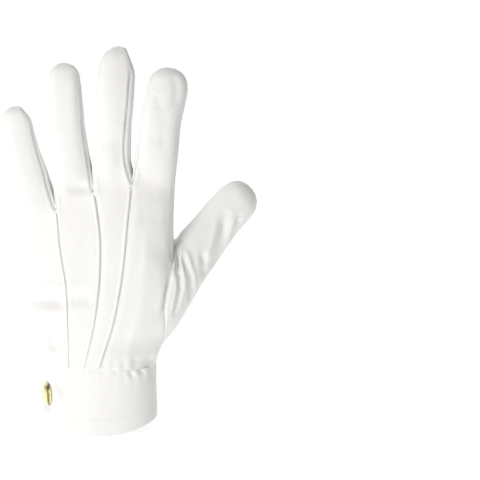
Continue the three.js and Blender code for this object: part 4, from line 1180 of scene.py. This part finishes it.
def stitch_tree():
    """Geometry Nodes that lay one thread stitch after another along the edges of a mesh."""
    tree = bpy.data.node_groups.new("sewn_stitches", "GeometryNodeTree")
    face = tree.interface
    face.new_socket("Geometry", in_out="INPUT", socket_type="NodeSocketGeometry")
    sockets = {}
    for name in ("Pitch", "Length", "Thickness"):
        socket = face.new_socket(name, in_out="INPUT", socket_type="NodeSocketFloat")
        socket.subtype = "DISTANCE"
        sockets[name] = socket.identifier
    socket = face.new_socket("Thread", in_out="INPUT", socket_type="NodeSocketMaterial")
    sockets["Thread"] = socket.identifier
    face.new_socket("Geometry", in_out="OUTPUT", socket_type="NodeSocketGeometry")
    add = partial(add_node, tree)
    start = add("NodeGroupInput")
    line = add("GeometryNodeMeshToCurve", Mesh=(start, "Geometry"))
    spots = add("GeometryNodeResampleCurve", mode="LENGTH", Curve=(line, 0),
                Length=(start, "Pitch"))
    ball = add("GeometryNodeMeshUVSphere", Segments=8, Rings=5, Radius=0.5)
    size = add("ShaderNodeCombineXYZ", X=(start, "Thickness"), Y=(start, "Thickness"),
               Z=(start, "Length"))
    thread = add("GeometryNodeTransform", Geometry=(ball, 0), Scale=(size, 0))
    rounded = add("GeometryNodeSetShadeSmooth", Geometry=(thread, 0))
    way = add("GeometryNodeInputTangent")
    turn = add("FunctionNodeAlignRotationToVector", axis="Z", Vector=(way, 0))
    laid = add("GeometryNodeInstanceOnPoints", Points=(spots, 0), Instance=(rounded, 0),
               Rotation=(turn, 0))
    real = add("GeometryNodeRealizeInstances", Geometry=(laid, 0))
    painted = add("GeometryNodeSetMaterial", Geometry=(real, 0), Material=(start, "Thread"))
    add("NodeGroupOutput", _0=(painted, 0))
    return tree, sockets


def stitch_lines(name, lines):
    """Rows of stitches along lines of places in millimetres, as one object."""
    settings = bpy.context.scene.glove_cloth
    points, edges = [], []
    for line in lines:
        first = len(points)
        points += (line * MM).tolist()
        edges += [(k, k + 1) for k in range(first, len(points) - 1)]
    guide = new_object(name + "_guide", points, [], edges=edges)
    tree, sockets = stitch_tree()
    modifier = guide.modifiers.new("Stitches", "NODES")
    modifier.node_group = tree
    modifier[sockets["Pitch"]] = settings.stitch_pitch
    modifier[sockets["Length"]] = settings.stitch_pitch * STITCH["fill"]
    modifier[sockets["Thickness"]] = settings.thread
    modifier[sockets["Thread"]] = cotton_thread()
    result = finished_mesh(guide, modifier)
    bpy.data.objects.remove(guide)
    bpy.data.node_groups.remove(tree)
    result.name = name
    obj = bpy.data.objects.new(name, result)
    bpy.context.scene.collection.objects.link(obj)
    declare(obj, CLOTH_SLOT)


def point_path(row):
    """Places, ways out, ways aside and lengths along one raised point on the dressed back."""
    column = row["line"] * FINGER_COLUMNS
    aside = Vector((row["shift"], 0, 0))
    n = POINT["samples"]
    rough = [hand_point(column, lerp(POINT["bottom"], POINT["top"], k / n)) + aside
             for k in range(n + 1)]
    lengths = [0.0]
    for a, b in zip(rough, rough[1:]):
        lengths.append(lengths[-1] + (b - a).length)
    count = int(lengths[-1] / POINT["step"])
    at = [lengths[-1] * k / count for k in range(count + 1)]
    found = []
    for length in at:
        i = min(n - 1, int(np.searchsorted(lengths, length, side="right")) - 1)
        share = (length - lengths[i]) / max(TINY, lengths[i + 1] - lengths[i])
        found.append(net_tree().find_nearest(rough[i].lerp(rough[i + 1], share)))
    places = np.array([f[0] for f in found])
    normals = np.array([f[1] for f in found])
    kernel = np.array(EVEN_NORMALS, float)
    kernel /= kernel.sum()
    beyond = len(kernel) // 2
    for values in (normals, places):
        for axis in range(3):
            padded = np.pad(values[:, axis], beyond, mode="edge")
            values[:, axis] = np.convolve(padded, kernel, "valid")
    normals = unit(normals)
    side = unit(np.cross(np.gradient(places, axis=0), normals))
    return places, normals, side, np.array(at)


def raised_point(row):
    """One stitched pleat down the back as a closed ridge; its places, ways out and ways aside."""
    places, normals, side, at = point_path(row)
    low = np.sqrt(left_low(row, places[:, 2]))
    half_turn = np.linspace(0, math.pi, POINT["sides"] + 1)
    across = np.cos(half_turn) * (1 + POINT["spread"] * (1 - np.sin(half_turn)) ** 2)
    up = np.sin(half_turn) ** POINT["crest"]
    skirt = np.where(across < 0, POINT["skirt"], 1)
    pinch = 1 - POINT["pinch"] * (0.5 + 0.5 * np.cos(2 * math.pi * at / STITCH["pitch"]))
    sink = smooth((at[-1] - at) / POINT["end"]) * lerp(POINT["start"], 1, smooth(at / POINT["end"]))
    points = []
    for k in range(len(places)):
        width = POINT["width"] / 2 * pinch[k] * lerp(POINT["slim"], 1, sink[k]) * skirt
        uneven = 1 + POINT["uneven"] * math.sin(at[k] / POINT["beat"])
        rise = (POINT["height"] * low[k] + POINT["foot"]) * uneven * sink[k]
        points.append(places[k] - normals[k] * POINT["foot"]
                      + side[k] * (across * width + up * POINT["lean"] * sink[k])[:, None]
                      + normals[k] * (up * rise)[:, None])
    n = POINT["sides"] + 1
    faces, uv = [], []
    for k in range(len(places) - 1):
        for j in range(n):
            a, b = k * n + j, k * n + (j + 1) % n
            faces.append((a, b, b + n, a + n))
            u = j % POINT["sides"] * POINT["flat"]
            wide = u + POINT["flat"]
            uv += [(u, at[k]), (wide, at[k]), (wide, at[k + 1]), (u, at[k + 1])]
    end = (len(places) - 1) * n
    faces += [tuple(reversed(range(n))), tuple(range(end, end + n))]
    uv += [(0, 0)] * (2 * n)
    co = (np.concatenate(points) * MM).tolist()
    obj = new_object(f"cotton_{row['name']}", co, faces, cotton_knit())
    layer = obj.data.uv_layers.new(name="cloth")
    layer.uv.foreach_set("vector", [c for corner in uv for c in corner])
    declare(obj, CLOTH_SLOT, row["name"])
    return places, normals, side


def lap_offset(columns):
    outer = smooth(ramp(columns, CUFF["outer_ramp"]))
    hidden = smooth(ramp(columns, CUFF["hidden_ramp"]))
    return CUFF["lift"] / 2 * (1 - outer - hidden)


def round_cuff(columns, heights):
    """Places of the cuff before the snap flattens it: columns by heights by three."""
    seams = np.array([hand_point(c, 0) for c in columns])
    ways = [hand_point(c + COLUMN_NUDGE, 0) - hand_point(c - COLUMN_NUDGE, 0) for c in columns]
    outs = np.array([way.cross(UP).normalized() for way in ways])
    columns = np.asarray(columns, float)[:, None]
    heights = np.asarray(heights, float)[None, :]
    base = hand_section(0)
    below = CUFF_TOP - heights
    drop = 1 - heights / CUFF_TOP
    level = ((seams[:, 0:1] - base["middle"]) / base["half"]) ** 2
    hem = CUFF["hem_middle"] + (CUFF["hem_side"] - CUFF["hem_middle"]) * level
    wave = gather_wave(np.mod(columns, HAND_COLUMNS), below)
    wave = GATHER["calm"] * GATHER["height"] / 2 * wave
    wave = np.where((columns > GATHER["start"]) & (columns < GATHER["end"]), wave, 0)
    sewn = smooth(1 - below / CUFF["lap_sewn"]) * np.clip(lap_offset(columns), 0, None)
    out = lap_offset(columns) - sewn + CUFF["flare"] * drop + wave
    x = seams[:, 0:1] + CUFF["shift"] * drop + outs[:, 0:1] * out
    y = seams[:, 1:2] + outs[:, 1:2] * out
    z = heights + hem * drop
    return np.stack([x, y, z], axis=2)


def snap_axis():
    """Where the snap's axis crosses the round cuff, and the way out of the cuff there."""
    c = SNAP["column"]
    spots = round_cuff([c, c + COLUMN_NUDGE, c - COLUMN_NUDGE], [SNAP["z"]])[:, 0]
    out = Vector(spots[1] - spots[2]).cross(UP).normalized()
    return Vector(spots[0]), Matrix.Rotation(math.radians(-SNAP["turn"]), 3, "Z") @ out


def from_snap(places):
    """The snap's way out, and how far places lie along it and away from the snap's axis."""
    centre, out = (np.array(v) for v in snap_axis())
    way = places - centre
    ahead = way @ out
    return out, ahead, np.linalg.norm(way - ahead[..., None] * out, axis=-1)


def cuff_places(columns, heights):
    """Places of the cuff's outer face, level round the snap."""
    places = round_cuff(columns, heights)
    out, ahead, away = from_snap(places)
    close = np.abs(ahead) < SNAP["seat"] + SNAP["fade"]
    level = np.where(close, 1 - smooth((away - SNAP["seat"]) / SNAP["fade"]), 0)
    layer = lap_offset(columns)[:, None] - CUFF["lift"] / 2
    return places + (level * (layer - SNAP["sink"] - ahead))[..., None] * out


def cuff_rise(co, out, height):
    """How far hem, seam, folds and wrinkles lift the cuff's face; nothing lifts it at the snap."""
    rise = HEM["rise"] * smooth((HEM["line"] - height) / HEM["soft"] + 0.5)
    rise -= HEM["groove"] * bell((height - HEM["line"] - HEM["stitches"]) / HEM["groove_width"])
    rise -= WRIST_SEAM * SEAM_SINK * bell((CUFF_TOP - height) / SEAM_REACH)
    to_back = smooth(-out[:, 1] * FACING)
    for stroke in CUFF_STROKES:
        rise -= stroke_push(co[:, 0], co[:, 2], stroke) * to_back
    for wrinkle in WRINKLES:
        rise += CUFF_WRINKLES * wrinkle["height"] * wrinkle_noise(co, wrinkle)
    _, ahead, away = from_snap(co)
    calm = smooth((away - SNAP["radius"]) / SNAP["calm"])
    return rise * np.where(np.abs(ahead) < SNAP["seat"], calm, 1)


def lathe(name, profile, sides, centre, axis, material):
    """A smooth turned piece: its profile of radius and height stands on an axis, in millimetres."""
    spin = UP.rotation_difference(axis).to_matrix()
    points, faces, rows = [], [], []
    for radius, height in profile:
        if radius == 0:
            rows.append([len(points)] * sides)
            points.append(centre + axis * height)
            continue
        rows.append([len(points) + k for k in range(sides)])
        for k in range(sides):
            a = 2 * math.pi * k / sides
            ring = Vector((radius * math.cos(a), radius * math.sin(a), height))
            points.append(centre + spin @ ring)
    for lower, upper in zip(rows, rows[1:]):
        for (a, b), (d, c) in zip(round_pairs(lower), round_pairs(upper)):
            corners = list(dict.fromkeys((a, b, c, d)))
            if len(corners) > 2:
                faces.append(corners)
    return new_object(name, [tuple(p * MM) for p in points], faces, material)


def number(name, description, default, low=0, high=1000, **kind):
    return FloatProperty(name=name, description=description, default=default, min=low, max=high,
                         **kind)


def colour(name, description, hex_colour):
    return FloatVectorProperty(name=name, description=description, subtype="COLOR",
                               default=linear(hex_colour)[:3], min=0, max=1)


class GLOVE_PG_cloth(bpy.types.PropertyGroup):
    """Sizes and colours of the sewn cotton."""
    wall: number("Cloth thickness", "Thickness of the cotton", 0.0008, 0.0003, 0.003,
                 unit="LENGTH")
    stitch_pitch: number("Stitch pitch", "Length from one stitch to the next",
                         STITCH["pitch"] * MM, 0.001, 0.01, unit="LENGTH")
    thread: number("Thread", "Thickness of the sewing thread", 0.00036, 0.0001, 0.002,
                   unit="LENGTH")
    colour: colour("Cotton", "Colour of the bleached cotton", "#f0f0ef")
    warm_colour: colour("Worn cotton", "Its warmer patches", "#ebeae8")


class GLOVE_PG_snap(bpy.types.PropertyGroup):
    """Sizes and colour of the snap."""
    radius: number("Cap radius", "Radius of the domed cap", SNAP["radius"] * MM, 0.003, 0.01,
                   unit="LENGTH")
    height: number("Cap height", "Height of the domed cap", SNAP["height"] * MM, 0.001, 0.006,
                   unit="LENGTH")
    colour: colour("Brass", "Colour of the brass", "#f3eab8")
    # The streak is a painted dark reflection on the cap; this is where it lies across the glove.
    streak: number("Painted reflection", "Where the streak of painted dark reflection lies across the glove", -0.0322, -1, 1,
                   unit="LENGTH")


class GLOVE_PG_stage(bpy.types.PropertyGroup):
    """Floor, light and camera."""
    floor_drop: number("Floor", "Height of the floor", -0.006, -1, 1, unit="LENGTH")
    key: number("Key light", "Power of the soft light from the little finger side", 5.3,
                unit="POWER")
    top: number("Top light", "Power of the light above", 1.8, unit="POWER")
    side: number("Side card", "Power of the white card beside the glove", 0.6, unit="POWER")
    fill: number("Room", "Brightness of the surroundings", 0.1)
    backdrop: number("Backdrop", "Brightness of the lit backdrop", 0.66)
    distance: number("Camera distance", "From the camera to its aim", 1.0, 0.3, 5, unit="LENGTH")
    elevation: number("Camera elevation", "Angle that the camera looks down", math.radians(10),
                      -1.5, 1.5, subtype="ANGLE")


class GLOVE_OT_panels(bpy.types.Operator):
    """Makes the back and palm panels of the hand and fingers"""
    bl_idname = "glove.panels"
    bl_label = "Back and palm"

    def execute(self, context):
        cloth_piece("back_panel")
        cloth_piece("palm_panel")
        return {"FINISHED"}


class GLOVE_OT_fourchettes(bpy.types.Operator):
    """Makes the side strips between the fingers"""
    bl_idname = "glove.fourchettes"
    bl_label = "Fourchettes"

    def execute(self, context):
        for piece in STRIPS:
            cloth_piece(piece)
        return {"FINISHED"}


class GLOVE_OT_thumb(bpy.types.Operator):
    """Makes the thumb, sewn into its oval hole"""
    bl_idname = "glove.thumb"
    bl_label = "Thumb"

    def execute(self, context):
        cloth_piece("thumb")
        return {"FINISHED"}


class GLOVE_OT_points(bpy.types.Operator):
    """Makes the three raised points on the back with their stitches"""
    bl_idname = "glove.points"
    bl_label = "Points"

    def execute(self, context):
        foot = POINT["width"] / 2 * POINT_STITCH["place"]
        rows = []
        for row in POINT_ROWS:
            places, normals, side = raised_point(row)
            for sign in (-1, 1):
                aside = side * (sign * foot + POINT_STITCH["aside"])
                stitched = places + normals * POINT_STITCH["rise"] + aside
                rows.append(stitched[POINT_STITCH["first"]:-POINT_STITCH["last"]])
        stitch_lines("stitches_points", rows)
        return {"FINISHED"}


class GLOVE_OT_cuff(bpy.types.Operator):
    """Makes the cuff with its lap, hem and gathers"""
    bl_idname = "glove.cuff"
    bl_label = "Cuff"

    def execute(self, context):
        count = int(round((CUFF["under"] - CUFF["over"]) / CUFF_STEP))
        columns = np.linspace(CUFF["over"], CUFF["under"], count + 1)
        heights = np.linspace(0, CUFF_TOP - WRIST_GAP, CUFF_ROWS + 1)
        ids = np.arange(len(columns) * len(heights)).reshape(len(columns), len(heights))
        corners = [ids[:-1, :-1], ids[1:, :-1], ids[1:, 1:], ids[:-1, 1:]]
        faces = np.stack(corners, axis=2).reshape(-1, 4)
        places = cuff_places(columns, heights)
        co = places.reshape(-1, 3)
        out = quad_normals(co, faces)
        height = np.tile(heights, len(columns))
        co = co + out * cuff_rise(co, out, height)[:, None]
        steps = np.linalg.norm(np.diff(places[:, 0], axis=0), axis=1)
        length = np.concatenate([[0], np.cumsum(steps)])
        flat = np.stack([np.repeat(length, len(heights)), height], axis=1)
        obj = cloth_object("cotton_cuff", co, faces, flat[faces], ids[:, -1])
        declare(obj, CLOTH_SLOT, "cuff")

        thread = (co + out * STITCH["seat"]).reshape(*ids.shape, 3)
        hem = int(np.argmin(np.abs(heights - (HEM["line"] + HEM["stitches"]))))
        first, last = (int(end / CUFF_STEP) for end in HEM_ENDS)
        lap = int(round(LAP_STITCHES["inside"] / CUFF_STEP))
        skip = LAP_STITCHES["skip"]
        stitch_lines("stitches_cuff", [thread[first:-last, hem], thread[lap, skip:-skip]])
        return {"FINISHED"}


class GLOVE_OT_snap(bpy.types.Operator):
    """Makes the domed brass cap and the plain disc behind it"""
    bl_idname = "glove.snap"
    bl_label = "Snap"

    def execute(self, context):
        settings = context.scene.glove_snap
        radius, height = settings.radius / MM, settings.height / MM
        centre, out = snap_axis()
        profile = [(0, 0)] + [(radius - inset, rise) for inset, rise in CAP_RIM]
        inner, foot, start = radius - CAP_DOME["inset"], CAP_DOME["foot"], CAP_DOME["start"]
        for k in range(CAP_DOME["rings"]):
            a = math.radians(start + (90 - start) * k / CAP_DOME["rings"])
            profile.append((inner * math.cos(a), foot + (height - foot) * math.sin(a)))
        profile.append((0, height))
        seat = centre + out * (SNAP["gap"] - SNAP["sink"])
        cap = lathe("brass_snap_cap", profile, SNAP["sides"], seat, out, lacquered_brass())
        declare(cap, BRASS_SLOT, "snap_cap")
        back, thick, soft = (SNAP_BACK[key] for key in ("radius", "thick", "soft"))
        depth = CUFF["lift"] + SNAP_BACK["wall"] + SNAP["gap"] + thick + SNAP["sink"]
        disc = [(0, 0), (back - soft, 0), (back, soft), (back, thick - soft),
                (back - soft, thick), (0, thick)]
        plate = lathe("brass_snap_back", disc, SNAP_BACK["sides"], centre - out * depth, out,
                      lacquered_brass())
        declare(plate, BRASS_SLOT, "snap_back")
        return {"FINISHED"}


def floor_and_backdrop(settings):
    """A sweep of paper: a flat floor that turns up in a wide cove behind the glove."""
    cove = SWEEP["cove"]
    foot = SWEEP["back"] - cove
    profile = [(y, 0.0) for y in (*SWEEP["floor"], foot)]
    for k in range(1, SWEEP["turns"] + 1):
        a = math.radians(90 * k / SWEEP["turns"])
        profile.append((foot + cove * math.sin(a), cove - cove * math.cos(a)))
    profile.append((SWEEP["back"], SWEEP["top"]))
    points = [(x, y, z + settings.floor_drop)
              for y, z in profile for x in (SWEEP["left"], SWEEP["right"])]
    faces = [(2 * k, 2 * k + 1, 2 * k + 3, 2 * k + 2) for k in range(len(profile) - 1)]
    floor = new_object("floor", points, faces, studio_paper())


def area_light(name, place, aim, size, power_watts):
    data = bpy.data.lights.new(name, "AREA")
    data.shape = "SQUARE"
    data.size = size
    data.energy = power_watts
    data.color = linear("#fffefc")[:3]
    light = bpy.data.objects.new(name, data)
    bpy.context.scene.collection.objects.link(light)
    light.location = place
    light.rotation_euler = (aim - place).to_track_quat("-Z", "Y").to_euler()


class GLOVE_OT_stage(bpy.types.Operator):
    """Makes the floor with its backdrop, the lights and the camera"""
    bl_idname = "glove.stage"
    bl_label = "Stage"

    def execute(self, context):
        settings = context.scene.glove_stage
        floor_and_backdrop(settings)
        world = bpy.data.worlds.new("soft_room")
        context.scene.world = world
        world.use_nodes = True
        background = world.node_tree.nodes["Background"]
        background.inputs["Color"].default_value = linear("#fbfaf8")
        background.inputs["Strength"].default_value = settings.fill
        aim = Vector(CAMERA_AIM)
        for light in LIGHTS:
            area_light(light["name"], aim + Vector(light["way"]), aim, light["size"],
                       getattr(settings, light["power"]))
        data = bpy.data.cameras.new("picture_camera")
        data.sensor_width = SENSOR
        data.lens = LENS
        data.clip_start, data.clip_end = CAMERA_CLIP
        camera = bpy.data.objects.new("picture_camera", data)
        context.scene.collection.objects.link(camera)
        way = Vector((0, -math.cos(settings.elevation), math.sin(settings.elevation)))
        camera.location = aim + way * settings.distance
        camera.rotation_euler = (-way).to_track_quat("-Z", "Y").to_euler()
        context.scene.camera = camera
        context.scene.view_settings.view_transform = "Standard"
        return {"FINISHED"}


class GLOVE_PT_panel(bpy.types.Panel):
    """Lists the glove's pieces and sizes"""
    bl_idname = "GLOVE_PT_panel"
    bl_label = "White dress glove"
    bl_space_type = "VIEW_3D"
    bl_region_type = "UI"
    bl_category = "Glove"

    def draw(self, context):
        for operator in OPERATORS:
            self.layout.operator(operator.bl_idname)
        for name, group in GROUPS.items():
            box = self.layout.box()
            for key in group.__annotations__:
                box.prop(getattr(context.scene, name), key)


OPERATORS = (GLOVE_OT_panels, GLOVE_OT_fourchettes, GLOVE_OT_thumb, GLOVE_OT_points,
             GLOVE_OT_cuff, GLOVE_OT_snap, GLOVE_OT_stage)
GROUPS = dict(glove_cloth=GLOVE_PG_cloth, glove_snap=GLOVE_PG_snap, glove_stage=GLOVE_PG_stage)
CLASSES = (*GROUPS.values(), *OPERATORS, GLOVE_PT_panel)


def register():
    for cls in CLASSES:
        bpy.utils.register_class(cls)
    for name, group in GROUPS.items():
        setattr(bpy.types.Scene, name, PointerProperty(type=group))


def unregister():
    for name in GROUPS:
        delattr(bpy.types.Scene, name)
    for cls in reversed(CLASSES):
        bpy.utils.unregister_class(cls)


def main():
    register()
    bpy.ops.glove.panels()
    bpy.ops.glove.fourchettes()
    bpy.ops.glove.thumb()
    bpy.ops.glove.points()
    bpy.ops.glove.cuff()
    bpy.ops.glove.snap()
    bpy.ops.glove.stage()


if __name__ == "__main__":
    main()
